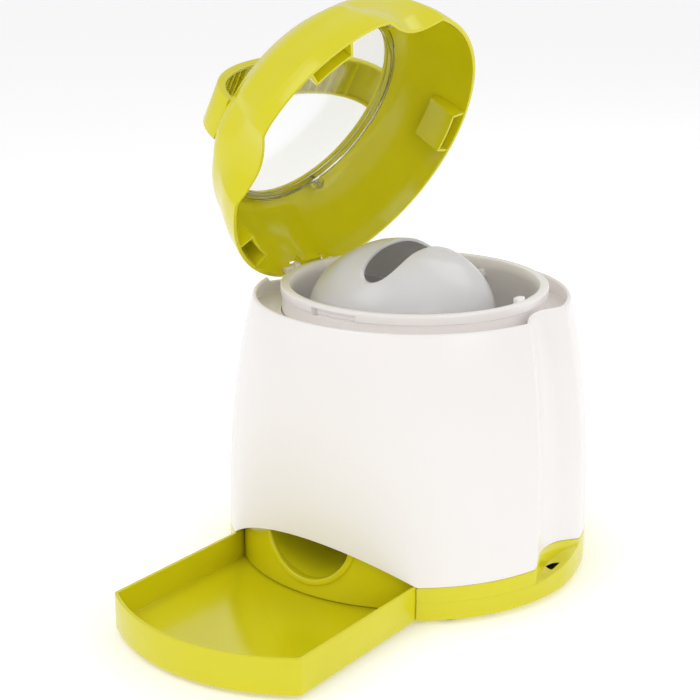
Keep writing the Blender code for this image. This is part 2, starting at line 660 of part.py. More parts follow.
def tray(green):
    low = BASE_LOW + 0.3
    floor = BASE_LOW + BASE_FLOOR + GAP
    outer = tray_outline(TRAY_HALF, TRAY_RADIUS, TRAY_BACK)
    drawer = loft("tray", [[(x, y, z) for x, y in outer] for z in (low, TRAY_TOP)], green)
    inner = tray_outline(TRAY_HALF - TRAY_WALL, TRAY_RADIUS - TRAY_WALL, TRAY_BACK + 9.0)
    cavity = loft("cavity", [[(x, y, z) for x, y in inner] for z in (floor + TRAY_FLOOR, TRAY_TOP + 5.0)], green)
    belly = loft("belly", [[(x, y, z) for x, y in inner] for z in (low - 3.0, floor)], green)
    return cut(drawer, cavity, belly)


def feet(rubber):
    for number, azimuth in enumerate(FOOT_AZIMUTHS, 1):
        x, y, _ = polar(FOOT_REACH, azimuth)
        outline = [(0.0, 0.0), (FOOT_RADIUS - 0.5, 0.0), (FOOT_RADIUS, 0.5), (FOOT_RADIUS, BASE_LOW - 0.2),
                   (2.0, BASE_LOW - 0.2), (2.0, BASE_LOW + BASE_FLOOR + 1.6), (0.0, BASE_LOW + BASE_FLOOR + 1.6)]
        turned(f"foot_{number}", outline, rubber, 20, (x, y - FORWARD_LEAN))


def base_screws(steel):
    for number, azimuth in enumerate(POST_AZIMUTHS, 1):
        x, y, _ = polar(POST_REACH, azimuth)
        outline = [(0.0, 0.8), (2.6, 0.8), (2.8, BASE_LOW - 0.2), (1.4, BASE_LOW - 0.2), (1.4, 33.0), (0.0, 34.4)]
        turned(f"base_screw_{number}", outline, steel, 14, (x, y - FORWARD_LEAN))


# ---------------------------------------------------------------- batteries and electronics

def batteries(white, cell_skin, green, steel, board_green):
    low = BASE_LOW + BASE_FLOOR + GAP
    front = CELL_ROWS[0] - CELL_RADIUS - 2.8
    back = CELL_ROWS[1] + CELL_RADIUS + 2.8
    frame = box("battery_box", (-53.0, front, low), (53.0, back, BOX_TOP), white)
    room = box("room", (-51.4, front + 2.0, low - 3.0), (51.4, back - 2.0, BOX_TOP - 2.0), white)
    cut(frame, room)
    number = 0
    for y in CELL_ROWS:
        for side in (-1, 1):
            number += 1
            start = 0.5 if side > 0 else -0.5 - CELL_LENGTH
            outline = [(0.0, start), (CELL_RADIUS, start), (CELL_RADIUS, start + CELL_LENGTH - 1.4), (2.6, start + CELL_LENGTH - 1.4),
                       (2.6, start + CELL_LENGTH), (0.0, start + CELL_LENGTH)]
            cell = turned(f"battery_{number}", outline, cell_skin, 20)
            cell.data.transform(Matrix.Translation((0.0, y * MM, CELL_HEIGHT * MM)) @ Matrix.Rotation(math.radians(90.0), 4, "Y"))
    door = box("battery_door", (-50.7, CELL_ROWS[0] - CELL_RADIUS - 0.5, BASE_LOW), (50.7, CELL_ROWS[1] + CELL_RADIUS + 0.5, BASE_LOW + BASE_FLOOR), green)
    cut(door, cylinder("hole", 1.8, 0.0, 8.0, green, (0.0, 62.0), 12))
    turned("door_screw", [(0.0, 0.9), (2.8, 0.9), (2.8, BASE_LOW - 0.2), (1.4, BASE_LOW - 0.2), (1.4, 9.0), (0.0, 9.0)],
           steel, 14, (0.0, 62.0))
    board = box("circuit_board", (-30.0, 50.0, BOX_TOP + 2.0), (30.0, 80.0, BOX_TOP + 3.6), board_green)
    chips = [box("chip", (-12.0, 56.0, BOX_TOP + 3.0), (2.0, 70.0, BOX_TOP + 6.5), board_green),
             box("chip", (12.0, 58.0, BOX_TOP + 3.0), (22.0, 66.0, BOX_TOP + 9.0), board_green)]
    join(board, *chips)


def controls(black, green):
    knob = box("power_switch", (-19.6, 92.6, 9.9), (-16.6, 99.4, 14.1), black)
    join(knob, box("carrier", (-25.0, 90.6, 8.4), (-11.2, 93.0, 15.6), black))
    button = turned("feed_button", [(0.0, 91.0), (5.4, 91.0), (5.4, 93.0), (4.0, 93.0), (4.0, 98.8), (3.2, 99.6), (0.0, 99.6)],
                    black, 24)
    button.data.transform(Matrix.Translation((15.0 * MM, 0.0, 12.0 * MM)) @ Matrix.Rotation(math.radians(-90.0), 4, "X"))
    return knob, button


# ---------------------------------------------------------------- lid

def lid_flute(azimuth, height):
    fade = 1.0 - LID_FLUTE_FADE * height / HANDLE_FOOT
    return LID_FLUTE_DEPTH * fade * max(scallop(azimuth, c, LID_FLUTE_HALF) for c in LID_FLUTES)


def lid_pinch(azimuth, radius, height):
    """How far the dome's front half is drawn in between its flutes."""
    if abs((azimuth + 180.0) % 360.0 - 180.0) > max(LID_FLUTES):
        return 0.0
    between = 1.0 - max(scallop(azimuth, c, LID_FLUTE_HALF) for c in LID_FLUTES)
    return LID_PINCH * between * min(1.0, height / 26.0) * min(1.0, max(0.0, (radius - WINDOW_OPENING - 3.6) / 8.0))


def lid_point(azimuth, inset, height):
    radius = LID_RADIUS - inset
    return (radius - lid_flute(azimuth, height) - lid_pinch(azimuth, radius, height), height)


def lid_profile(azimuth):
    low, high = PANE_TOP + RING_GAP, CROWN_TOP
    outer = [(0.0, 0.0), (0.3, 6.0), (1.2, 13.0), (5.6, 30.0), (9.6, 40.0), (16.6, high - 2.8), (21.0, high - 0.6), (24.8, high)]
    ring = [(WINDOW_OPENING, high), (WINDOW_OPENING, low)]
    inner = [(20.2, low), (15.0, low - 4.0), (11.8, 39.0), (7.8, 29.2), (3.4, 12.6), (LID_WALL, 0.0)]
    return [lid_point(azimuth, *p) for p in outer] + ring + [lid_point(azimuth, *p) for p in inner]


def tilt_crown(obj):
    """Lowers the lid's crown towards its front, and leaves its rim level."""
    turn = math.radians(LID_TILT_AZIMUTH)
    for vert in obj.data.vertices:
        x, y, height = vert.co / MM
        share = min(max((height - 14.0) / 31.0, 0.0), 1.0)
        ahead = (x * math.sin(turn) - y * math.cos(turn)) / WINDOW_OPENING
        vert.co.z -= LID_TILT * share * (1.0 + ahead) / 2.0 * MM
    return obj


def arch_path(steps=28):
    """Points and outward directions along the handle's arch, front to back: a slightly squared half ellipse."""
    power = HANDLE_SQUARENESS
    path = []
    for i in range(steps + 1):
        t = math.pi * i / steps
        across = -math.copysign(abs(math.cos(t)) ** (2.0 / power), math.cos(t))
        up = abs(math.sin(t)) ** (2.0 / power)
        ny = math.copysign(abs(across) ** (power - 1.0), across) / HANDLE_HALF_LENGTH
        nh = up ** (power - 1.0) / HANDLE_RISE
        size = math.hypot(ny, nh)
        path.append((across * HANDLE_HALF_LENGTH, HANDLE_FOOT + up * HANDLE_RISE, ny / size, nh / size))
    return path


def handle(green):
    """A downward-open channel bent into an arch, stiffened by ribs near both ends."""
    wide = HANDLE_HALF_WIDTH
    narrow = wide - HANDLE_SKIN
    roof = HANDLE_DEPTH - HANDLE_SKIN
    section = [(-wide, 0.0), (-wide, HANDLE_DEPTH), (wide, HANDLE_DEPTH), (wide, 0.0),
               (narrow, 0.0), (narrow, roof), (-narrow, roof), (-narrow, 0.0)]
    rings = [[(x, y + ny * d, h + nh * d) for x, d in section] for y, h, ny, nh in arch_path()]
    bar = loft("handle", rings, green)
    ribs = []
    for reach in HANDLE_RIBS:
        for side in (-1, 1):
            rise = (1.0 - (reach / HANDLE_HALF_LENGTH) ** HANDLE_SQUARENESS) ** (1.0 / HANDLE_SQUARENESS)
            h = HANDLE_FOOT + HANDLE_RISE * rise
            y = side * reach
            ribs.append(box("rib", (-narrow - 0.5, y - 0.6, h + 0.4), (narrow + 0.5, y + 0.6, h + roof + 1.0), green))
    return join(bar, *ribs)


def pads(green):
    """Hollow boxes inside the rim, open downwards, that centre the lid on the collar."""
    made = []
    for azimuth in PAD_AZIMUTHS:
        start = azimuth - PAD_SWEEP / 2.0
        outer = [(1.1, 0.4), (2.2, 12.8), (4.2, PAD_HEIGHT)]
        turns = [start + PAD_SWEEP * i / 4.0 for i in range(5)] + [None]
        pad = sweep("pad", lambda a: [(PAD_INNER, 0.4), *(lid_point(a, *p) for p in outer), (PAD_INNER, PAD_HEIGHT)], turns, green)
        hollow = arc_block("hollow", start + 1.1, PAD_SWEEP - 2.2, PAD_INNER + 1.5, LID_RADIUS + 2.0,
                           -2.0, PAD_HEIGHT - 1.5, green, 4)
        made.append(cut(pad, hollow))
    return made


def at_ears(name, radius, low, high, finish, steps=16):
    """One upright cylinder at each of the window's ears."""
    places = [polar(EAR_REACH, azimuth) for azimuth in EAR_AZIMUTHS]
    return [cylinder(name, radius, low, high, finish, (x, y), steps) for x, y, _ in places]


def lid_shell(green):
    azimuths = fluted_azimuths(LID_FLUTES, LID_FLUTE_HALF, 6.0, 10)
    shell = sweep("lid_shell", lid_profile, azimuths, green)
    join(shell, handle(green), *pads(green), *at_ears("boss", BOSS_RADIUS, WINDOW_PLANE - 1.3, PANE_TOP + 0.7, green))
    pin = Matrix.Translation((-HINGE_REACH * MM, 0.0, (HINGE_HEIGHT - LID_RIM) * MM))
    clearances = [along_pin("clearance", 5.0, *ends, green) for ends in ((8.3, 13.4), (-13.4, -8.3))]
    for tool in clearances:
        tool.data.transform(pin)
    tilt_crown(cut(shell, *clearances, *at_ears("thread", 1.1, 40.0, PANE_TOP + 0.2, green)))
    arm = box("arm", (-HINGE_REACH - 2.1, -7.7, 0.35), (-HINGE_REACH + 5.0, 7.7, 6.0), green)
    knuckle = along_pin("knuckle", HINGE_RADIUS, -8.0, 8.0, green)
    knuckle.data.transform(pin)
    join(shell, arm, knuckle)
    bore = along_pin("bore", HINGE_PIN_RADIUS + RUNNING_GAP, -20.0, 20.0, green)
    bore.data.transform(pin)
    return cut(shell, bore)


def lid_window(clear):
    flange = WINDOW_OPENING + 3.2
    outline = [(0.0, WINDOW_PLANE), (WINDOW_OPENING - 0.6, WINDOW_PLANE), (WINDOW_OPENING - 0.6, WINDOW_PLANE - 3.4),
               (flange, WINDOW_PLANE - 3.4), (flange, PANE_TOP), (0.0, PANE_TOP)]
    pane = turned("lid_window", outline, clear, 64)
    join(pane, *at_ears("ear", EAR_RADIUS, WINDOW_PLANE - 5.4, WINDOW_PLANE - 1.6, clear, 20))
    return tilt_crown(cut(pane, *at_ears("hole", 1.4, WINDOW_PLANE - 9.0, 47.0, clear)))


def window_screws(steel):
    made = []
    low = WINDOW_PLANE - 5.7
    for number, azimuth in enumerate(EAR_AZIMUTHS, 1):
        outline = [(0.0, low - 1.6), (1.9, low - 1.6), (2.3, low), (1.0, low), (1.0, PANE_TOP - 0.2), (0.0, PANE_TOP - 0.2)]
        made.append(tilt_crown(turned(f"window_screw_{number}", outline, steel, 14, polar(EAR_REACH, azimuth)[:2])))
    return made


def place_lid(pieces):
    """Hangs the lid's pieces on an empty on the hinge's axis and swings the empty open."""
    pivot = bpy.data.objects.new("lid_pivot", None)
    bpy.context.scene.collection.objects.link(pivot)
    x, y, z = hinge_place()
    turn = Matrix.Rotation(math.radians(LID_TWIST), 4, "Z") @ Matrix.Rotation(math.radians(-LID_OPEN), 4, "Y")
    pivot.matrix_world = Matrix.Translation((x * MM, y * MM, z * MM)) @ turn
    for piece in pieces:
        piece.data.transform(Matrix.Translation((HINGE_REACH * MM, 0.0, (LID_RIM - HINGE_HEIGHT) * MM)))
        piece.parent = pivot
    return pivot


# ---------------------------------------------------------------- the feeder

def build():
    clear_scene()
    white = material("white_plastic", (0.93, 0.91, 0.89), 0.3)
    green = material("lime_plastic", (0.55, 0.52, 0.0), 0.25)
    milky = material("milky_plastic", (0.72, 0.71, 0.72), 0.35, alpha=0.8)
    clear = material("clear_plastic", (0.85, 0.85, 0.88), 0.05, alpha=0.3)
    steel = material("steel", (0.6, 0.6, 0.6), 0.3, 1.0)
    nylon = material("nylon", (0.8, 0.79, 0.74), 0.5)
    motor_grey = material("motor_can", (0.5, 0.5, 0.5), 0.35, 1.0)
    rubber = material("rubber", (0.02, 0.02, 0.02), 0.8)
    black = material("black_plastic", (0.03, 0.03, 0.03), 0.4)
    cell_skin = material("cell_skin", (0.1, 0.12, 0.35), 0.35)
    board_green = material("board", (0.02, 0.2, 0.06), 0.5)

    body_shell(white)
    hopper_bowl(white)
    agitator(milky)
    portion_wheel(milky)
    drive(steel, nylon, motor_grey, white)
    chute(green)
    base_tub(green)
    tray(green)
    feet(rubber)
    base_screws(steel)
    batteries(white, cell_skin, green, steel, board_green)
    controls(black, green)
    pin = along_pin("hinge_pin", HINGE_PIN_RADIUS, -HINGE_HALF, HINGE_HALF, steel)
    pin.data.transform(hinge_frame())
    place_lid([lid_shell(green), lid_window(clear)] + window_screws(steel))
    finish_shading()


build()
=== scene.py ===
import json
import math

import bmesh
import bpy
from mathutils import Matrix, Vector


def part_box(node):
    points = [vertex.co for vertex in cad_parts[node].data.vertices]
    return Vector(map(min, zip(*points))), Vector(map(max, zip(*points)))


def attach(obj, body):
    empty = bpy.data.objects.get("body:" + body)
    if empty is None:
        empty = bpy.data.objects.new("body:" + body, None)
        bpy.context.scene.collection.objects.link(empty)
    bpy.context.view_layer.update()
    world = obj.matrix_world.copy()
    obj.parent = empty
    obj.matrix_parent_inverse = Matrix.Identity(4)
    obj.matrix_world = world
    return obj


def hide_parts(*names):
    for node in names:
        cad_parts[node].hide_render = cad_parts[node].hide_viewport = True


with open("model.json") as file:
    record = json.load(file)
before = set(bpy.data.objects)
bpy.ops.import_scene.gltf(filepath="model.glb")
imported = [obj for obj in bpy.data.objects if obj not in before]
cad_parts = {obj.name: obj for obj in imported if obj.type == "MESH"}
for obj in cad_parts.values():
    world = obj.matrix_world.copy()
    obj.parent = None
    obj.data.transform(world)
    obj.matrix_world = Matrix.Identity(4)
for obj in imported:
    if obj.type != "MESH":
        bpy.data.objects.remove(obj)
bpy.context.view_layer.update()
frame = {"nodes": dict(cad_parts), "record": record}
MM = 0.001

# %% [markdown]
# ## Helpers for finishes
# Colours are written as sRGB hex, the way a paint chart gives them, and Blender wants linear light,
# so one function converts them. Another adds a shader node with its settings and its links, which
# keeps every finish short enough to read as a recipe.
# %% Colour and node helpers


def colour(code):
    """Linear RGBA from an sRGB hex string."""
    shares = [int(code[i:i + 2], 16) / 255.0 for i in (0, 2, 4)]
    return [s / 12.92 if s <= 0.04045 else ((s + 0.055) / 1.055) ** 2.4 for s in shares] + [1.0]


def add(tree, kind, settings=None, **inputs):
    """Adds a node, sets its properties, and sets or links its inputs by name."""
    node = tree.nodes.new(kind)
    for key, value in (settings or {}).items():
        setattr(node, key, value)
    for key, value in inputs.items():
        socket = node.inputs[int(key[1:])] if key[1:].isdigit() else node.inputs[key.replace("_", " ")]
        if isinstance(value, bpy.types.NodeSocket):
            tree.links.new(value, socket)
        else:
            socket.default_value = value
    return node


def new_finish(name):
    finish = bpy.data.materials.new(name)
    finish.use_nodes = True
    shader = finish.node_tree.nodes["Principled BSDF"]
    return finish, finish.node_tree, shader


# %% [markdown]
# ## Moulded plastics
# Nearly everything here is injection-moulded. A polished mould gives ABS a gloss that is never quite
# flat: the skin keeps a very shallow waviness a few millimetres across, and a fine grain of about
# half a millimetre. The grain here is drawn at 0.8 mm, coarser than real, so that it shows at all.
# Two noises drive roughness and bump, and a third shifts the colour a little where the melt flowed.
# %% A moulded finish
FLOW_MM, WAVE_MM, BRUSH_MM = 45.0, 14.0, 0.6


def moulded(name, light, dark, roughness, grain=0.8, depth=0.02, **constants):
    """A glossy moulded plastic that drifts between two close colours."""
    finish, tree, shader = new_finish(name)
    place = add(tree, "ShaderNodeTexCoord").outputs["Object"]
    flow = add(tree, "ShaderNodeTexNoise", Vector=place, Scale=1.0 / (FLOW_MM * MM), Detail=2.0)
    wave = add(tree, "ShaderNodeTexNoise", Vector=place, Scale=1.0 / (WAVE_MM * MM), Detail=0.0)
    skin = add(tree, "ShaderNodeTexNoise", Vector=place, Scale=1.0 / (grain * MM), Detail=2.0)
    ramp = add(tree, "ShaderNodeMix", {"data_type": "RGBA"}, _0=flow.outputs["Fac"], _6=colour(dark),
               _7=colour(light))
    tree.links.new(ramp.outputs[2], shader.inputs["Base Color"])
    gloss = add(tree, "ShaderNodeMapRange", Value=skin.outputs["Fac"], To_Min=roughness - 0.03,
                To_Max=roughness + 0.05)
    tree.links.new(gloss.outputs["Result"], shader.inputs["Roughness"])
    height = add(tree, "ShaderNodeMath", {"operation": "MULTIPLY_ADD"}, _0=wave.outputs["Fac"], _1=3.0,
                 _2=skin.outputs["Fac"])
    bump = add(tree, "ShaderNodeBump", Height=height.outputs[0], Strength=0.12, Distance=depth * MM)
    tree.links.new(bump.outputs["Normal"], shader.inputs["Normal"])
    for key, value in constants.items():
        shader.inputs[key.replace("_", " ")].default_value = value
    return finish


white_abs = moulded("white_abs_gloss_moulded", "FCF8F6", "FAF5F3", 0.22, Subsurface_Weight=0.06,
                    Subsurface_Radius=(0.006, 0.005, 0.004), Subsurface_Scale=0.5)
lime_abs = moulded("lime_abs_gloss_moulded", "E6DE1C", "DCD410", 0.16, Subsurface_Weight=0.04,
                   Subsurface_Radius=(0.004, 0.004, 0.001), Subsurface_Scale=0.5)
milky_pp = moulded("milky_polypropylene", "FAF8F9", "F4F1F3", 0.2, Transmission_Weight=0.18, IOR=1.49,
                   Subsurface_Weight=0.3, Subsurface_Radius=(0.01, 0.01, 0.01), Subsurface_Scale=0.6)
clear_ps = moulded("clear_polystyrene", "FFFFFF", "FBFCFD", 0.05, Transmission_Weight=1.0, IOR=1.5)
black_abs = moulded("black_abs_textured", "1C1C1E", "141415", 0.45, depth=0.05)
nylon = moulded("natural_nylon", "E6E2D6", "DAD5C6", 0.45)
rubber = moulded("black_rubber", "1A1A1A", "121212", 0.7, depth=0.06)
print("moulded finishes:", [m.name for m in (white_abs, lime_abs, milky_pp, clear_ps, black_abs, nylon, rubber)])

# %% [markdown]
# ## Metals and electronics
# Screws and pins are zinc-plated steel, which is bright with a faint brushing along one direction.
# The motor's can is drawn steel, the cells wear a printed film, and the board has a green solder
# mask over copper. A stretched noise makes the brushing, whose lines are drawn 0.6 mm apart, coarser
# than real, so that they show; a metal keeps its default refraction.
# %% Metal, cell and board finishes


def brushed(name, tone, roughness):
    finish, tree, shader = new_finish(name)
    place = add(tree, "ShaderNodeTexCoord").outputs["Object"]
    stretched = add(tree, "ShaderNodeMapping", Vector=place, Scale=(1.0, 1.0, 0.08))
    lines = add(tree, "ShaderNodeTexNoise", Vector=stretched.outputs["Vector"], Scale=1.0 / (BRUSH_MM * MM), Detail=3.0)
    gloss = add(tree, "ShaderNodeMapRange", Value=lines.outputs["Fac"], To_Min=roughness - 0.08,
                To_Max=roughness + 0.1)
    tree.links.new(gloss.outputs["Result"], shader.inputs["Roughness"])
    bump = add(tree, "ShaderNodeBump", Height=lines.outputs["Fac"], Strength=0.3, Distance=0.02 * MM)
    tree.links.new(bump.outputs["Normal"], shader.inputs["Normal"])
    shader.inputs["Base Color"].default_value = colour(tone)
    shader.inputs["Metallic"].default_value = 1.0
    return finish


zinc_steel = brushed("zinc_plated_steel", "C9CACC", 0.3)
drawn_steel = brushed("drawn_steel_can", "A9ABAE", 0.34)
cell_film = moulded("printed_cell_film", "3A4A7C", "2E3C68", 0.3)
solder_mask = moulded("green_solder_mask", "1F6B3A", "185A30", 0.35)
print("metals:", zinc_steel.name, drawn_steel.name)

# %% [markdown]
# ## Finishes on the pieces that stay as they are
# Small and hidden pieces already have their real shape in the engineering model, so they keep it and
# only change material. The record lists each piece's slot, and a table turns a slot into a finish.
# %% Give every loaded piece its finish
finish_of = {
    "white_plastic": white_abs, "lime_plastic": lime_abs, "milky_plastic": milky_pp, "clear_plastic": clear_ps,
    "steel": zinc_steel, "nylon": nylon, "motor_can": drawn_steel, "rubber": rubber,
    "black_plastic": black_abs, "cell_skin": cell_film, "board": solder_mask,
}
for entry in frame["record"]["subparts"]:
    piece = frame["nodes"][entry["node"]]
    piece.data.materials.clear()
    piece.data.materials.append(finish_of[entry["material_slot"]])
print("dressed", len(frame["nodes"]), "loaded pieces")

# %% [markdown]
# ## Outlines, turning and shaping
# A moulded body is easiest to think of as an outline that is turned, then pressed into shape. The
# helpers below round an outline's corners, turn it about the upright axis with bmesh's spin, and
# then move each point by a rule that knows its radius, its azimuth and its height. Azimuths are
# counted from the front, towards the right.
# %% Outline and turning helpers


def soften(points, radius, steps=4, closed=True):
    """The outline with its corners rounded."""
    rounded = []
    for i, corner in enumerate(points):
        here = Vector(corner)
        before = Vector(points[i - 1]) - here
        after = Vector(points[(i + 1) % len(points)]) - here
        at_end = not closed and i in (0, len(points) - 1)
        if at_end or before.angle(after) > math.radians(166):
            rounded.append(tuple(here))
            continue
        start = here + before.normalized() * min(radius, 0.45 * before.length)
        end = here + after.normalized() * min(radius, 0.45 * after.length)
        shares = [k / steps for k in range(steps + 1)]
        rounded += [tuple(start * (1 - t) ** 2 + here * 2 * t * (1 - t) + end * t * t) for t in shares]
    return rounded


def smooth_through(points, steps=5):
    """A smooth curve through the points, by Catmull and Rom's rule."""
    ends = [Vector(points[0]) * 2 - Vector(points[1]), *map(Vector, points),
            Vector(points[-1]) * 2 - Vector(points[-2])]
    made = []
    for a, b, c, d in zip(ends, ends[1:], ends[2:], ends[3:]):
        for k in range(steps):
            t = k / steps
            made.append(tuple(0.5 * (2 * b + (c - a) * t + (2 * a - 5 * b + 4 * c - d) * t * t
                                     + (3 * b - a - 3 * c + d) * t ** 3)))
    return made + [tuple(points[-1])]


def turn_outline(points, steps, closed=True, start=None, sweep=360.0):
    """Turns (radius, height) points in millimetres about the upright axis, all round or over a sweep."""
    mesh = bmesh.new()
    verts = [mesh.verts.new((r * MM, 0.0, z * MM)) for r, z in points]
    pairs = list(zip(verts, verts[1:] + verts[:1])) if closed else list(zip(verts, verts[1:]))
    edges = [mesh.edges.new(pair) for pair in pairs]
    whole = start is None
    first = -90.0 if whole else start - 90.0
    bmesh.ops.rotate(mesh, verts=verts, cent=(0, 0, 0), matrix=Matrix.Rotation(math.radians(first), 3, "Z"))
    bmesh.ops.spin(mesh, geom=verts + edges, cent=(0, 0, 0), axis=(0, 0, 1), angle=math.radians(sweep),
                   steps=steps, use_merge=whole, use_duplicate=False)
    if not whole:
        bmesh.ops.holes_fill(mesh, edges=mesh.edges, sides=0)
    return mesh


def shape(mesh, rule):
    """Moves every point: rule(radius, azimuth, height) gives its new radius, height and forward shift."""
    for vert in mesh.verts:
        x, y, z = vert.co / MM
        azimuth = math.degrees(math.atan2(x, -y))
        r, z, forward = rule(math.hypot(x, y), azimuth, z)
        turn = math.radians(azimuth)
        vert.co = Vector((r * math.sin(turn), -r * math.cos(turn) + forward, z)) * MM
    return mesh


# %% [markdown]
# ## From a bmesh to a finished piece
# Doubled points are merged and the faces turned outwards before a piece is finished, because a spin
# leaves a seam and can turn a shape inside out. Cuts and joins are Boolean modifiers applied at once,
# so that no helper object stays in the file. Every finished piece rides on the body it belongs to.
# %% Finishing, cutting and joining helpers


def to_object(mesh, name):
    bmesh.ops.remove_doubles(mesh, verts=mesh.verts, dist=0.002 * MM)
    bmesh.ops.recalc_face_normals(mesh, faces=mesh.faces)
    data = bpy.data.meshes.new(name)
    mesh.to_mesh(data)
    mesh.free()
    obj = bpy.data.objects.new(name, data)
    bpy.context.scene.collection.objects.link(obj)
    return obj


def apply_modifiers(obj):
    bpy.context.view_layer.update()
    graph = bpy.context.evaluated_depsgraph_get()
    obj.data = bpy.data.meshes.new_from_object(obj.evaluated_get(graph))
    obj.modifiers.clear()
    return obj


def combine(obj, tools, operation="DIFFERENCE"):
    for tool in tools:
        modifier = obj.modifiers.new("combine", "BOOLEAN")
        modifier.operation = operation
        modifier.solver = "EXACT"
        modifier.object = tool
        apply_modifiers(obj)
        bpy.data.objects.remove(tool)
    return obj


def round_edges(obj, width, segments=3, angle=35.0):
    modifier = obj.modifiers.new("round_edges", "BEVEL")
    modifier.width = width * MM
    modifier.segments = segments
    modifier.limit_method = "ANGLE"
    modifier.angle_limit = math.radians(angle)
    modifier.use_clamp_overlap = True
    return apply_modifiers(obj)


def finish(obj, material, body, nodes=(), slot=None, sharp=38.0):
    obj.data.materials.clear()
    obj.data.materials.append(material)
    obj.data.shade_smooth()
    obj.data.set_sharp_from_angle(angle=math.radians(sharp))
    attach(obj, body)
    if nodes:
        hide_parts(*nodes)
    print(f"{obj.name}: {len(obj.data.polygons)} faces")
    return obj


# %% [markdown]
# ## Solid helpers
# Some features are straight: a block, a rod, or a flat outline given a height. Each starts from one
# bmesh operator, and a matrix puts it in place before it becomes an object.
# %% Blocks, rods and prisms


def block(name, low, high, matrix=None):
    mesh = bmesh.new()
    bmesh.ops.create_cube(mesh, size=1.0)
    size = Vector(high) - Vector(low)
    middle = (Vector(high) + Vector(low)) / 2
    bmesh.ops.scale(mesh, vec=size * MM, verts=mesh.verts)
    bmesh.ops.translate(mesh, vec=middle * MM, verts=mesh.verts)
    if matrix:
        bmesh.ops.transform(mesh, matrix=matrix, verts=mesh.verts)
    return to_object(mesh, name)


def rod(name, radius, start, end, axis="Z", at=(0.0, 0.0, 0.0), matrix=None, sides=64):
    """A round rod along an axis, from start to end, through a point."""
    mesh = bmesh.new()
    bmesh.ops.create_cone(mesh, cap_ends=True, segments=sides, radius1=radius * MM, radius2=radius * MM,
                          depth=(end - start) * MM)
    bmesh.ops.translate(mesh, vec=(0, 0, (start + end) / 2 * MM), verts=mesh.verts)
    turns = {"X": Matrix.Rotation(math.radians(90), 4, "Y"), "Y": Matrix.Rotation(math.radians(-90), 4, "X")}
    bmesh.ops.transform(mesh, matrix=turns.get(axis, Matrix.Identity(4)), verts=mesh.verts)
    bmesh.ops.translate(mesh, vec=Vector(at) * MM, verts=mesh.verts)
    if matrix:
        bmesh.ops.transform(mesh, matrix=matrix, verts=mesh.verts)
    return to_object(mesh, name)


def prism(name, outline, low, high):
    """A flat outline of (x, y) points given a height."""
    mesh = bmesh.new()
    face = mesh.faces.new([mesh.verts.new((x * MM, y * MM, low * MM)) for x, y in outline])
    made = bmesh.ops.extrude_face_region(mesh, geom=[face])["geom"]
    raised = [g for g in made if isinstance(g, bmesh.types.BMVert)]
    bmesh.ops.translate(mesh, vec=(0, 0, (high - low) * MM), verts=raised)
    return to_object(mesh, name)


def swept(name, section, stations):
    """A closed section of (x, y) points carried through a list of matrices, in millimetres."""
    mesh = bmesh.new()
    ring = [mesh.verts.new(stations[0] @ Vector((x, y, 0.0))) for x, y in section]
    edges = [mesh.edges.new(pair) for pair in zip(ring, ring[1:] + ring[:1])]
    bmesh.ops.contextual_create(mesh, geom=edges)
    for last, station in zip(stations, stations[1:]):
        made = bmesh.ops.extrude_edge_only(mesh, edges=edges)["geom"]
        verts = {g for g in made if isinstance(g, bmesh.types.BMVert)}
        edges = [g for g in made if isinstance(g, bmesh.types.BMEdge) and set(g.verts) <= verts]
        bmesh.ops.transform(mesh, matrix=station @ last.inverted(), verts=list(verts))
    bmesh.ops.contextual_create(mesh, geom=edges)
    bmesh.ops.scale(mesh, vec=(MM, MM, MM), verts=mesh.verts)
    return to_object(mesh, name)


# %% [markdown]
# ## The body's skin
# The white body is a barrel: 207 mm across near the table, drawn in to 181 mm at the top, and it
# leans a little forward as it goes down. Two scallops run up its sides. One rule gives the radius of
# this skin at any azimuth and height, and the shell and the base both follow it, as they do when one
# mould maker cuts both.
# %% The skin's rule
SKIN_LOW, SKIN_TOP = 21.6, 154.0
SKIN_RADIUS, SKIN_TAPER, SKIN_BULGE = 103.6, 13.2, 2.6
FORWARD_LEAN = 3.4
FLUTE_CENTRE, FLUTE_HALF = 89.75, 14.25
SEAM_CLIMB = 6.6
ARCH_HALF, ARCH_RADIUS, ARCH_TOP = 62.0, 105.0, 41.7


def share_of(z):
    return min(max((z - SKIN_LOW) / (SKIN_TOP - SKIN_LOW), 0.0), 1.0)


def lean(z):
    return -FORWARD_LEAN * (1.0 - share_of(z))


def dip(azimuth, centre, half):
    """1 in a scallop's middle, 0 at its edges: creased towards the front and soft towards the back."""
    off = ((abs(azimuth) - centre) if centre else azimuth) / half
    if abs(off) >= 1.0:
        return 0.0
    return 1.0 - off ** 2 if off < 0.0 or not centre else math.cos(math.pi * off / 2.0) ** 1.5


def flute(azimuth, share):
    return (7.5 + 3.3 * share) * dip(azimuth, FLUTE_CENTRE, FLUTE_HALF)


def skin(azimuth, z):
    share = share_of(z)
    behind = min(max((abs(azimuth) - FLUTE_CENTRE) / FLUTE_HALF, 0.0), 1.0)
    return SKIN_RADIUS - SKIN_TAPER * share ** SKIN_BULGE - (1.5 + 2.0 * share) * behind - flute(azimuth, share)


def seam_rise(azimuth):
    share = (abs(azimuth) - FLUTE_CENTRE + FLUTE_HALF) / (2.0 * FLUTE_HALF)
    return SEAM_CLIMB * min(1.0, share / 0.1) * (1.0 - share ** 2) if 0.0 < share < 1.0 else 0.0


def seam(azimuth):
    """The height of the shell's lower edge: an arch in front, a climb in each flute."""
    x = skin(azimuth, SKIN_LOW) * math.sin(math.radians(azimuth))
    if abs(x) > ARCH_HALF or abs(azimuth) > 90.0:
        return SKIN_LOW + seam_rise(azimuth)
    return max(SKIN_LOW, ARCH_TOP - ARCH_RADIUS + math.sqrt(ARCH_RADIUS ** 2 - x ** 2))


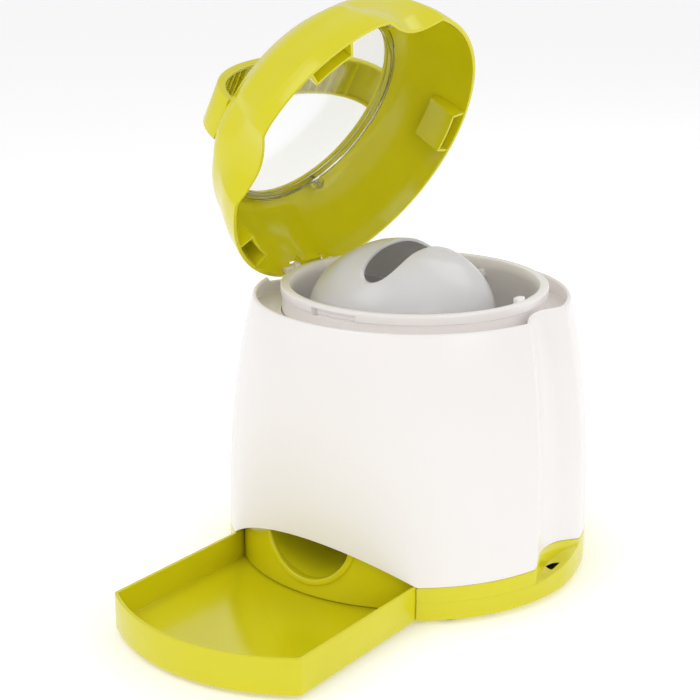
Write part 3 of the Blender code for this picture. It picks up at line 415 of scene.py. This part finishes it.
print("skin radius at the front, low and high:", round(skin(0, SKIN_LOW), 1), round(skin(0, SKIN_TOP), 1))

# %% [markdown]
# ## The white shell
# The shell is one moulding: the outer skin, a rounded top edge, and a sunken deck that runs up to the
# hopper. Its outline is turned as a plain ring of radius 100 mm, and the skin's rule then bends it.
# The top edge is lowered a little at the left, where the lid's hinge swings.
# %% Model the shell
HINGE_REACH, HINGE_HEIGHT, HINGE_TURN = 82.6, 155.2, 6.2
HINGE_AZIMUTH = -90.0 - HINGE_TURN


def hinge_dip(azimuth):
    off = abs(azimuth - HINGE_AZIMUTH)
    return 3.0 * min(1.0, max(0.0, (23.0 - off) / 2.0))


def shell_rule(r, azimuth, z):
    if z < 70.0:
        z += (seam(azimuth) - SKIN_LOW) * ((70.0 - z) / 48.4) ** 2
    if r > 90.0:
        r = skin(azimuth, z) - (100.0 - r)
    if z > 145.0:
        z -= hinge_dip(azimuth) * (z - 145.0) / 9.0
    return r, z, lean(z)


climb = [SKIN_LOW + (153.0 - SKIN_LOW) * i / 30.0 for i in range(31)]
rounded_edge = [(99.9, 153.4), (99.6, 153.8), (99.1, 154.0), (98.5, 153.9), (98.0, 153.5), (97.6, 152.8)]
deck = soften([(97.6, 150.0), (97.4, 144.0), (74.5, 144.0)], 1.6, closed=False)[1:]
inside = [(74.5, 142.0), (97.6, 142.0)] + [(97.6, z) for z in climb[26::-1]]
outline = [(100.0, z) for z in climb] + rounded_edge + deck + inside
shell = to_object(shape(turn_outline(outline, 360), shell_rule), "shell")
finish(shell, white_abs, "base", ["body_shell"], "white_plastic", sharp=30.0)

# %% [markdown]
# ## The hinge
# Two ears stand up in the left flute and carry a steel pin, and the lid's knuckle turns between them.
# Each ear is a block with a round head, so it is a block and a rod joined, and the joint's edges are
# rounded as a mould would leave them.
# %% Model the hinge ears
turn = math.radians(HINGE_AZIMUTH)
pin_at = Vector((HINGE_REACH * math.sin(turn), -HINGE_REACH * math.cos(turn), HINGE_HEIGHT))
hinge = Matrix.Translation(pin_at * MM) @ Matrix.Rotation(math.radians(180.0 - HINGE_TURN), 4, "Z")
for number, (start, end) in enumerate(((-13.0, -8.6), (8.6, 13.0)), 1):
    ear = block(f"hinge_ear_{number}", (-5.2, start, -15.0), (3.0, end, -3.4), hinge)
    neck = block("neck", (-2.9, start, -5.0), (2.9, end, 0.0), hinge)
    head = rod("head", 3.0, start, end, "Y", matrix=hinge, sides=48)
    combine(ear, [neck, head], "UNION")
    combine(ear, [rod("bore", 1.6, -20.0, 20.0, "Y", matrix=hinge, sides=32)])
    finish(round_edges(ear, 0.35), white_abs, "base", slot="white_plastic")

# %% [markdown]
# ## The hopper
# The hopper is a deep round bowl whose collar stands 5.5 mm above the shell. The collar has a small
# step, three shallow recesses for a feed guard, each starting in a deeper slit, and a rounded rim.
# The recesses are pressed into the turned ring by its rule, which is why the outline keeps pairs of
# close points at their upper and lower edges.
# %% Model the hopper
RECESSES = (-11.8, 116.3, -107.0)


def hopper_rule(r, azimuth, z):
    if r > 70.0 and 152.7 < z < 157.5:
        for start in RECESSES:
            off = (azimuth - start + 1.2) % 360.0
            if off < 2.4:
                r -= 3.4
            elif off < 22.7 and z > 153.3:
                r -= 1.3 * min(1.0, (22.9 - off) / 0.6)
    return r, z, 0.0


wall = [(74.2, 122.0), (74.2, 152.65), (74.2, 152.75), (74.2, 153.2), (74.2, 153.4), (74.2, 154.0), (75.0, 154.5)]
wall += [(75.0, 157.4), (75.0, 157.6), (75.0, 158.6), (74.7, 159.2), (74.0, 159.5), (71.2, 159.5), (70.2, 159.2)]
wall += [(69.5, 158.2), (69.1, 156.0), (69.0, 153.5), (71.2, 147.5), (72.0, 123.0), (63.0, 99.0), (63.0, 61.5)]
wall += [(61.5, 60.0), (7.0, 60.0), (7.0, 57.8), (65.2, 57.8), (65.2, 98.0)]
hopper = to_object(shape(turn_outline(wall, 360), hopper_rule), "hopper")
combine(hopper, [rod("port", 16.0, 50.0, 66.0, at=(0.0, -45.0, 0.0))])
finish(hopper, white_abs, "base", ["hopper_bowl"], "white_plastic", sharp=30.0)

# %% [markdown]
# A tooth on the collar's right and a small tab inside its back keep a feed guard from turning.
# Each could be a block joined to the hopper, but it has to follow the collar's curve, so it is a
# short arc of wall with rounded edges.
# %% Model the collar's tooth and tab
tooth_outline = [(67.8, 154.5), (71.8, 154.5), (71.6, 161.6), (68.0, 161.6)]
tooth = to_object(turn_outline(tooth_outline, 6, start=84.5, sweep=5.0), "collar_tooth")
finish(round_edges(tooth, 0.5), white_abs, "base", slot="white_plastic")
tab_outline = [(67.2, 148.0), (71.0, 148.0), (70.4, 152.5), (67.2, 152.5)]
tab = to_object(turn_outline(tab_outline, 4, start=176.8, sweep=3.2), "collar_tab")
finish(round_edges(tab, 0.4), white_abs, "base", slot="white_plastic")

# %% [markdown]
# ## The agitator
# The agitator is a thin milky dome that turns in the food. It isn't quite centred, which is what
# makes it stir, and a slot with a round bottom runs over it from front to back. The dome is a turned
# quarter ellipse; the slot is cut with a rod whose upper half has been pulled straight up.
# %% Model the agitator
DOME_BASE, DOME_RADIUS, DOME_HEIGHT, DOME_WALL = 140.0, 53.0, 42.0, 1.8
DOME_OFFSET, DOME_OFFSET_AZIMUTH = 7.0, -54.0
SLOT_RADIUS, SLOT_CENTRE = 10.0, 177.0


def dome_curve(radius, height, steps=28):
    turns = [math.pi / 2.0 * i / steps for i in range(steps + 1)]
    return [(radius * math.cos(t), DOME_BASE + height * math.sin(t)) for t in turns]


def dome_rule(r, azimuth, z):
    """Pushes the dome off the axis and makes it a little taller on the side that it leans to."""
    off = math.cos(math.radians(azimuth - DOME_OFFSET_AZIMUTH))
    taller = 1.0 + off / 21.0 * min(1.0, r / 20.0)
    return r * (1.0 + DOME_OFFSET / DOME_RADIUS * off), DOME_BASE + (z - DOME_BASE) * taller, 0.0


outline = dome_curve(DOME_RADIUS, DOME_HEIGHT) + dome_curve(DOME_RADIUS - DOME_WALL, DOME_HEIGHT - DOME_WALL)[::-1]
rim = [(51.6, DOME_BASE - 0.5), (52.4, DOME_BASE - 0.6)]
dome = to_object(shape(turn_outline(rim + outline, 240), dome_rule), "agitator_dome")
slot_tool = rod("slot_tool", SLOT_RADIUS, -80.0, 80.0, "Y", at=(0.0, 0.0, SLOT_CENTRE), sides=96)
for vert in slot_tool.data.vertices:
    if vert.co.z > (SLOT_CENTRE + 0.001) * MM:
        vert.co.z += 30.0 * MM
combine(dome, [slot_tool])
finish(round_edges(dome, 0.45, angle=50.0), milky_pp, "rotor", ["agitator"], "milky_plastic", sharp=40.0)

# %% [markdown]
# Under the dome, a hub slides over the drive shaft and two webs carry the dome's weight to it. They
# are one moulding with the dome. They stay separate pieces here, because no seam between them can
# be seen and each keeps a simple shape: a turned tube and two blocks.
# %% Model the agitator's hub and webs
tube = soften([(4.08, 128.0), (9.0, 128.0), (9.0, 160.0), (4.08, 160.0)], 0.6)
hub = to_object(turn_outline(tube, 96), "agitator_hub")
finish(hub, milky_pp, "rotor", slot="milky_plastic")
for number, (start, end) in enumerate(((-50.0, -8.9), (8.9, 42.0)), 1):
    web = round_edges(block(f"agitator_web_{number}", (start, -1.0, 131.0), (end, 1.0, 158.0)), 0.4)
    finish(web, milky_pp, "rotor", slot="milky_plastic")

# %% [markdown]
# ## The base
# The base carries the feeder: a lime band and a floor in one moulding, with the same flutes as the
# body. Low in each flute the band swells out again to a full circle, which leaves a small ledge.
# It is turned from one outline that starts and ends on the axis, then bent by the skin's rule.
# %% Model the base
BASE_LOW, BASE_TOP = 2.3, 21.3
TRAY_HALF, TRAY_RADIUS, TRAY_WALL = 61.2, 103.1, 2.0
BAY_HALF = TRAY_HALF + 0.5


def base_rule(r, azimuth, z):
    if r < 90.0:
        return r, z, -FORWARD_LEAN
    turn_share = min(max((abs(azimuth) - FLUTE_CENTRE + FLUTE_HALF) / (2.0 * FLUTE_HALF), 0.0), 1.0)
    lip = 13.0 + 7.0 * turn_share
    behind = min(max((abs(azimuth) - FLUTE_CENTRE) / FLUTE_HALF, 0.0), 1.0)
    full = SKIN_RADIUS - 1.5 * behind
    press = min(max((z + 0.8 * (100.0 - r) - 15.0) / 1.4, 0.0), 1.0)
    if z < 16.0:
        z = 3.3 + (z - 3.3) * (lip - 3.3) / 12.7 if z > 3.3 else z
    else:
        z = lip + (z - 16.0) * (BASE_TOP + seam_rise(azimuth) - lip) / (BASE_TOP - 16.0)
    return full - (100.0 - r) - flute(azimuth, 0.0) * press, z, -FORWARD_LEAN


underside = [(0.0, BASE_LOW), (60.0, BASE_LOW), (98.9, BASE_LOW), (99.6, 2.6), (99.9, 3.4)]
outside = [(100.0, 6.0), (100.0, 10.0), (100.0, 14.0), (100.0, 15.0), (99.9, 15.5), (99.8, 15.9), (99.8, 16.4)]
outside += [(99.9, 17.0), (100.0, 19.0), (100.0, 21.0), (99.7, 21.3)]
inside = [(97.6, 21.3), (97.6, 17.0), (97.6, 14.5), (97.6, 13.8), (97.6, 13.0), (97.6, 5.0), (96.6, 4.1)]
band = underside + outside + inside + [(60.0, 4.1), (0.0, 4.1)]
base = to_object(shape(turn_outline(band, 360, closed=False), base_rule), "base")
mouth = block("mouth", (-BAY_HALF, -130.0, 4.1), (BAY_HALF, -80.0, 30.0))
slots = [block("slot", (58.9, -130.0, 0.0), (BAY_HALF, 17.8, 5.3)),
         block("slot", (-BAY_HALF, -130.0, 0.0), (-58.9, 17.8, 5.3))]
slits = [block("slit", (side * 97.0 - 3.6, -12.4, 13.4), (side * 97.0 + 3.6, 5.6, 16.0)) for side in (-1, 1)]
# The floor ends in a round tongue, so that the closed drawer's front wall passes in front of it.
tongue = rod("tongue", 100.0, -3.0, 7.0, at=(0.0, -FORWARD_LEAN, 0.0), sides=240)
ahead = combine(block("ahead", (-BAY_HALF, -130.0, -1.0), (BAY_HALF, -50.0, 5.3)), [tongue])
combine(base, [mouth, *slots, *slits, ahead])
print("base cut:", len(base.data.polygons), "faces")

# %% [markdown]
# The back of the base has openings for the slide switch and the feed button, and the underside has
# the battery opening and the holes that the feet and screws go through. Each hole is taken from the
# loaded foot or screw that goes through it, so that it can't miss.
# %% Cut the base's openings
tools = [block("door_opening", (-51.0, 46.0, 0.0), (51.0, 78.0, 9.0)),
         block("switch_window", (-20.0, 88.0, 9.5), (-12.2, 104.0, 14.5))]
tools.append(rod("button_hole", 4.3, 88.0, 106.0, "Y", at=(15.0, 0.0, 12.0)))
for node, radius in [(f"foot_{i}", 2.3) for i in range(1, 5)] + [(f"base_screw_{i}", 1.8) for i in range(1, 5)]:
    low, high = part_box(node)
    middle = (low + high) / 2.0 / MM
    tools.append(rod("hole", radius, 0.0, 8.0, at=(middle.x, middle.y, 0.0), sides=32))
combine(base, tools)
finish(base, lime_abs, "base", ["base_tub"], "lime_plastic", sharp=30.0)

# %% [markdown]
# Two rails and a back stop inside the base guide the drawer. They are seen once it is pulled out.
# They are plain blocks in the real moulding too, so a block with rounded edges is enough.
# %% Model the drawer's rails
guides = (("rail_right", (BAY_HALF, -84.0, 3.9), (BAY_HALF + 2.0, 20.0, 21.2)),
          ("rail_left", (-BAY_HALF - 2.0, -84.0, 3.9), (-BAY_HALF, 20.0, 21.2)),
          ("drawer_stop", (-62.0, 18.0, 3.9), (62.0, 20.0, 21.2)))
for name, low, high in guides:
    finish(round_edges(block(name, low, high), 0.4), lime_abs, "base", slot="lime_plastic")

# %% [markdown]
# ## The chute
# Under the arch, a curved green wall closes the body, with a scoop-shaped mouth in its middle. The
# wall is an arc of an outline, the mouth is cut with the same kind of tool as the agitator's slot,
# and a thick rounded lip is swept round the mouth along the wall's curve.
# %% Model the chute's front wall
CHUTE_RADIUS, SCOOP_RADIUS, SCOOP_CENTRE = 98.0, 27.0, 43.0


def wall_y(x):
    return -FORWARD_LEAN - math.sqrt(CHUTE_RADIUS ** 2 - x ** 2)


half_sweep = math.degrees(math.asin(58.4 / CHUTE_RADIUS))
wall_outline = [(95.6, 6.6), (CHUTE_RADIUS, 6.6), (CHUTE_RADIUS, 45.8), (95.6, 45.8)]
wall = to_object(turn_outline(wall_outline, 90, start=-half_sweep, sweep=2 * half_sweep), "chute_wall")
wall.data.transform(Matrix.Translation((0.0, -FORWARD_LEAN * MM, 0.0)))
mouth_tool = rod("mouth_tool", SCOOP_RADIUS + 1.5, -120.0, -80.0, "Y", at=(0.0, 0.0, SCOOP_CENTRE), sides=96)
for vert in mouth_tool.data.vertices:
    if vert.co.z > (SCOOP_CENTRE + 0.01) * MM:
        vert.co.z += 30.0 * MM
combine(wall, [mouth_tool])
finish(round_edges(wall, 0.35), lime_abs, "base", ["chute"], "lime_plastic")

# %% [markdown]
# The lip's section is a rounded bar. Each station of its path sits on the wall, at right angles to
# the path, so the bar keeps its thickness all the way round.
# %% Model the scoop's lip
LIP_RADIUS, LIP_TOP = SCOOP_RADIUS + 1.8, 45.6
turns = [-math.pi * i / 48.0 for i in range(49)]
half_round = [(LIP_RADIUS * math.cos(t), SCOOP_CENTRE + LIP_RADIUS * math.sin(t)) for t in turns]
lip_path = [(LIP_RADIUS, LIP_TOP), *half_round, (-LIP_RADIUS, LIP_TOP)]
stations = []
for i, (x, z) in enumerate(lip_path):
    before = Vector(lip_path[max(i - 1, 0)])
    after = Vector(lip_path[min(i + 1, len(lip_path) - 1)])
    along = Vector((after.x - before.x, 0.0, after.y - before.y)).normalized()
    forward = Vector((0.0, -1.0, 0.0))
    across = forward.cross(along)
    place = Vector((x, wall_y(x) + 1.2, z))
    stations.append(Matrix.Translation(place) @ Matrix((across, forward, along)).transposed().to_4x4())
section = soften([(-1.9, -3.0), (1.9, -3.0), (1.9, 2.4), (-1.9, 2.4)], 1.6, 5)
lip = swept("scoop_lip", section, stations)
finish(lip, lime_abs, "base", slot="lime_plastic", sharp=60.0)

# %% [markdown]
# Behind the mouth the chute climbs as a half-pipe towards the hopper's port. A bent tube would need
# its upper half cut away, so the half-pipe's section is swept along the slope instead.
# %% Model the chute's channel
arc = [math.pi + math.pi * i / 40.0 for i in range(41)]
CHANNEL_OUTSIDE = SCOOP_RADIUS + 2.0
pipe = [(SCOOP_RADIUS * math.cos(t), SCOOP_RADIUS * math.sin(t)) for t in arc]
pipe += [(CHANNEL_OUTSIDE * math.cos(t), CHANNEL_OUTSIDE * math.sin(t)) for t in reversed(arc)]
stations = []
for y in [-98.4 + 71.0 * i / 20.0 for i in range(21)]:
    place = Vector((0.0, y, SCOOP_CENTRE + (y + CHUTE_RADIUS) * 0.35))
    stations.append(Matrix.Translation(place) @ Matrix(((1, 0, 0), (0, 0, -1), (0, 1, 0))).to_4x4())
channel = swept("chute_channel", pipe, stations)
combine(channel, [block("trim", (-80.0, -100.4, LIP_TOP), (80.0, -94.0, 90.0)),
                  block("trim", (-80.0, -95.0, 57.2), (80.0, 0.0, 90.0))])
finish(channel, lime_abs, "base", slot="lime_plastic")

# %% [markdown]
# ## The tray
# The tray is a drawer with a round front, open at the back so that its floor slides under the chute.
# It is a prism, hollowed from above by a smaller one, and its edges are rounded because a child or a
# cat will touch every one of them.
# %% Model the tray
TRAY_OUT = 97.0


def tray_outline(half, radius, back, corner):
    edge = math.asin(half / radius)
    turns = [-edge + 2.0 * edge * i / 40.0 for i in range(41)]
    front = [(radius * math.sin(t), -FORWARD_LEAN - radius * math.cos(t) - TRAY_OUT) for t in turns]
    return soften([(-half, back - TRAY_OUT), *front, (half, back - TRAY_OUT)], corner, 5)


tray = prism("tray_drawer", tray_outline(TRAY_HALF, TRAY_RADIUS, 16.0, 1.4), 2.6, 22.0)
hollow = tray_outline(TRAY_HALF - TRAY_WALL, TRAY_RADIUS - TRAY_WALL, 30.0, 1.0)
combine(tray, [prism("cavity", hollow, 6.0, 40.0), prism("belly", hollow, -5.0, 4.4)])
finish(round_edges(tray, 0.5), lime_abs, "tray", ["tray"], "lime_plastic")

# %% [markdown]
# ## The lid's dome
# The lid is modelled closed and level, where its shape is easy to state, and is then swung open about
# the hinge by a matrix, so its place ends up in its mesh. Its dome is a turned outline; three flutes
# are pressed into its rim and fade towards the top, and a fuller stretch bulges a little at the right.
# %% The lid's rules
LID_RADIUS, HANDLE_FOOT, WINDOW_OPENING = 89.4, 48.9, 60.9
CROWN_TOP, PANE_TOP, PANE_LOW = 50.6, 47.8, 45.4
LID_FLUTES, LID_FLUTE_HALF, LID_FLUTE_DEPTH = (0.0, 91.0, -91.0), 14.5, 9.5
LID_PINCH, LID_TILT, LID_TILT_AZIMUTH = 4.0, 4.0, 20.0
OPEN_ANGLE, PIN_RISE = 61.2, 0.8
opened = Matrix.Translation(pin_at * MM) @ Matrix.Rotation(math.radians(-HINGE_TURN), 4, "Z")
opened = opened @ Matrix.Rotation(math.radians(-OPEN_ANGLE), 4, "Y")
opened = opened @ Matrix.Translation(Vector((HINGE_REACH, 0.0, -PIN_RISE)) * MM)


def lid_rule(r, azimuth, h):
    """Presses the flutes in, pinches the front half of the dome and lets its right side out a little."""
    offs = [((azimuth - centre + 180.0) % 360.0 - 180.0) / LID_FLUTE_HALF for centre in LID_FLUTES]
    press = max(0.0, *(1.0 - off ** 2 for off in offs))
    fluted = LID_FLUTE_DEPTH * (1.0 - 0.85 * h / HANDLE_FOOT) * press
    pinched = 0.0
    if abs(azimuth) < max(LID_FLUTES):
        pinched = LID_PINCH * (1.0 - press) * min(1.0, max(0.0, h) / 26.0)
        pinched *= min(1.0, max(0.0, (r - 64.5) / 8.0))
    ends = min(1.0, max(0.0, azimuth - LID_FLUTE_HALF) / 5.0) * min(1.0, max(0.0, 76.5 - azimuth) / 5.0)
    fuller = (1.0 + h / 14.0) * min(1.0, max(0.0, (46.0 - h) / 14.0)) * ends if 0.0 < azimuth < 90.0 else 0.0
    near_rim = min(1.0, max(0.0, (r - 62.0) / 6.0))
    return r - (fluted + pinched - fuller) * near_rim, h, 0.0


def tilt_crown(co):
    """Lowers the crown towards the lid's front, and leaves the rim level."""
    x, y, h = co / MM
    share = min(max((h - 14.0) / 31.0, 0.0), 1.0)
    towards = math.radians(LID_TILT_AZIMUTH)
    ahead = (x * math.sin(towards) - y * math.cos(towards)) / WINDOW_OPENING
    return Vector((x, y, h - LID_TILT * share * (1.0 + ahead) / 2.0)) * MM


def open_lid(obj):
    for vert in obj.data.vertices:
        vert.co = opened @ tilt_crown(vert.co)
    return obj


print("lid pivot at", [round(v, 1) for v in pin_at])

# %% [markdown]
# The dome's outline runs up the outside, over the ring that frames the window, and down the inside.
# %% Model the lid's dome
outer = smooth_through([(LID_RADIUS, 0.0), (89.1, 6.0), (88.2, 13.0), (83.8, 30.0), (79.8, 40.0),
                        (72.8, 47.8), (68.4, 50.0), (64.6, CROWN_TOP)])
inner = smooth_through([(69.2, 48.2), (74.4, 44.2), (77.6, 39.0), (81.6, 29.2), (86.0, 12.6), (87.2, 0.0)])
window_ring = soften([(64.6, CROWN_TOP), (WINDOW_OPENING, CROWN_TOP), (WINDOW_OPENING, 48.2), (69.2, 48.2)],
                     0.8, closed=False)[1:-1]
dome_mesh = shape(turn_outline(outer + window_ring + inner + [(87.5, -0.2), (89.1, -0.2)], 360), lid_rule)
lid = to_object(dome_mesh, "lid_dome")
pin_line = Matrix.Translation(Vector((-HINGE_REACH, 0.0, PIN_RISE)) * MM)
combine(lid, [rod("clearance", 5.0, 8.3, 13.4, "Y", matrix=pin_line),
              rod("clearance", 5.0, -13.4, -8.3, "Y", matrix=pin_line)])
finish(open_lid(lid), lime_abs, "lid", ["lid_shell"], "lime_plastic", sharp=30.0)

# %% [markdown]
# ## The handle
# The handle is an arch over the window: a channel, open below, stiffened by small ribs. Its section
# is carried through stations along a slightly squared half ellipse.
# %% Model the handle
HALF_LENGTH, RISE, POWER = 64.0, 28.0, 2.4


def arch_point(t):
    across = -math.copysign(abs(math.cos(t)) ** (2.0 / POWER), math.cos(t))
    up = abs(math.sin(t)) ** (2.0 / POWER)
    ny = math.copysign(abs(across) ** (POWER - 1.0), across) / HALF_LENGTH
    nh = up ** (POWER - 1.0) / RISE
    return Vector((0.0, across * HALF_LENGTH, HANDLE_FOOT + up * RISE)), Vector((0.0, ny, nh)).normalized()


stations = []
for i in range(97):
    place, outwards = arch_point(math.pi * i / 96.0)
    side = Vector((1.0, 0.0, 0.0))
    stations.append(Matrix.Translation(place) @ Matrix((side, outwards, side.cross(outwards))).transposed().to_4x4())
half_section = [(13.0, 5.0), (13.0, 0.0), (11.2, 0.0), (11.2, 3.2)]
channel_section = soften([(-13.0, 0.0), (-13.0, 5.0), *half_section, (-11.2, 3.2), (-11.2, 0.0)], 0.8, 4)
handle = swept("lid_handle", channel_section, stations)
finish(open_lid(handle), lime_abs, "lid", slot="lime_plastic")

# %% [markdown]
# The ribs cross the channel near both ends of the arch, 6.5 mm apart. Each is a small block, placed
# by the arch's own formula, so that it sits in the channel wherever it stands.
# %% Model the handle's ribs
RIB_REACHES = [30.0 + 6.5 * i for i in range(5)]
for number, reach in enumerate(RIB_REACHES, 1):
    for side, label in ((-1, "front"), (1, "back")):
        top = HANDLE_FOOT + RISE * (1.0 - (reach / HALF_LENGTH) ** POWER) ** (1.0 / POWER)
        rib = block(f"handle_rib_{label}_{number}", (-11.7, side * reach - 0.6, top + 0.2),
                    (11.7, side * reach + 0.6, top + 3.6))
        finish(open_lid(round_edges(rib, 0.2)), lime_abs, "lid", slot="lime_plastic")

# %% [markdown]
# ## The lid's pads and hinge arm
# Three hollow boxes inside the rim centre the lid on the hopper's collar. Each is an arc of an
# outline with a smaller arc cut out of it from below. The hinge arm is a block with a round knuckle.
# %% Model the pads and the arm
for number, azimuth in enumerate((50.0, -48.0, 179.0), 1):
    start = azimuth - 9.5
    outline = [(77.4, 0.4), (88.3, 0.4), (87.2, 12.8), (85.2, 20.0), (77.4, 20.0)]
    mesh = turn_outline(outline, 16, start=start, sweep=19.0)
    pad = to_object(shape(mesh, lambda r, a, h: lid_rule(r, a, h) if r > 80.0 else (r, h, 0.0)), f"lid_pad_{number}")
    room_outline = [(78.9, -3.0), (95.0, -3.0), (95.0, 18.5), (78.9, 18.5)]
    room = to_object(turn_outline(room_outline, 16, start=start + 1.1, sweep=16.8), "room")
    combine(pad, [room])
    finish(open_lid(round_edges(pad, 0.3)), lime_abs, "lid", slot="lime_plastic")
arm = block("hinge_arm", (-84.7, -7.7, 0.35), (-77.6, 7.7, 6.0))
combine(arm, [rod("knuckle", 3.0, -8.0, 8.0, "Y", matrix=pin_line)], "UNION")
combine(arm, [rod("bore", 1.6, -20.0, 20.0, "Y", matrix=pin_line)])
finish(open_lid(round_edges(arm, 0.35)), lime_abs, "lid", slot="lime_plastic")

# %% [markdown]
# ## The window
# The window is a clear moulded disc that fills the ring from below. It has a skirt and a flange, and
# three ears that screw to bosses in the lid. The disc is one turned outline, whose corners are
# rounded before it is turned; the ears are joined to it and the screws' holes are cut last.
# %% Model the window
section = [(0.0, PANE_LOW), (60.3, PANE_LOW), (60.3, 42.0), (64.1, 42.0), (64.1, PANE_TOP), (0.0, PANE_TOP)]
outline = soften(section, 0.5, closed=False)
pane = to_object(turn_outline(outline, 240, closed=False), "lid_pane")
tools = []
EAR_REACH = 66.8
for azimuth in (0.0, 120.0, -120.0):
    turn = math.radians(azimuth)
    at = (EAR_REACH * math.sin(turn), -EAR_REACH * math.cos(turn), 0.0)
    tools.append((rod("ear", 3.9, 40.0, 43.8, at=at), rod("hole", 1.4, 36.0, 47.0, at=at, sides=32)))
combine(pane, [ear for ear, _ in tools], "UNION")
combine(pane, [hole for _, hole in tools])
finish(open_lid(pane), clear_ps, "lid", ["lid_window"], "clear_plastic", sharp=30.0)

# %% [markdown]
# ## Studio
# The feeder stands on a pale seamless floor in soft light: a wide light above and to the left, a
# fill from the right, and a pale sky so that gloss has something bright to show.
# %% Floor, lights and world
mesh = bmesh.new()
bmesh.ops.create_grid(mesh, x_segments=1, y_segments=1, size=6.0)
floor = to_object(mesh, "floor")
floor_paint, tree, shader = new_finish("studio_floor")
shader.inputs["Base Color"].default_value = colour("FBFBFB")
shader.inputs["Roughness"].default_value = 0.6
# A faint glow of its own keeps the far floor as pale as the near floor.
shader.inputs["Emission Color"].default_value = colour("FFFFFF")
shader.inputs["Emission Strength"].default_value = 0.25
floor.data.materials.append(floor_paint)
# Each light has its name, its place in metres, its width in metres and its power in watts.
LIGHTS = (("key", (-0.5, -1.0, 1.5), 0.9, 4.8), ("fill", (1.4, -0.5, 0.8), 0.8, 2.4),
          ("back", (0.3, 1.2, 1.3), 1.0, 3.2))
middle = Vector((0.0, -0.04, 0.13))
for name, place, size, power in LIGHTS:
    lamp = bpy.data.lights.new(name, "AREA")
    lamp.size = size
    lamp.energy = power
    light = bpy.data.objects.new(name, lamp)
    light.location = place
    light.rotation_euler = (middle - Vector(place)).to_track_quat("-Z", "Y").to_euler()
    bpy.context.scene.collection.objects.link(light)
world = bpy.data.worlds.new("studio")
world.use_nodes = True
world.node_tree.nodes["Background"].inputs["Color"].default_value = colour("FFFFFF")
world.node_tree.nodes["Background"].inputs["Strength"].default_value = 0.70
bpy.context.scene.world = world
bpy.context.scene.view_settings.view_transform = "Standard"

# %% [markdown]
# ## Camera
# A long lens stands to the right of the front and a little above, so the open lid, the drawer and
# the right flute are all in view.
# %% Camera
lens = bpy.data.cameras.new("camera")
lens.sensor_width = 36.0
lens.lens = 79.3
camera = bpy.data.objects.new("camera", lens)
camera.location = (0.466604, -0.696806, 0.371951)
target = Vector((-0.00009, -0.0608, 0.1336))
camera.rotation_euler = (target - camera.location).to_track_quat("-Z", "Y").to_euler()
bpy.context.scene.collection.objects.link(camera)
bpy.context.scene.camera = camera
print("camera distance:", round((target - camera.location).length, 3), "m")
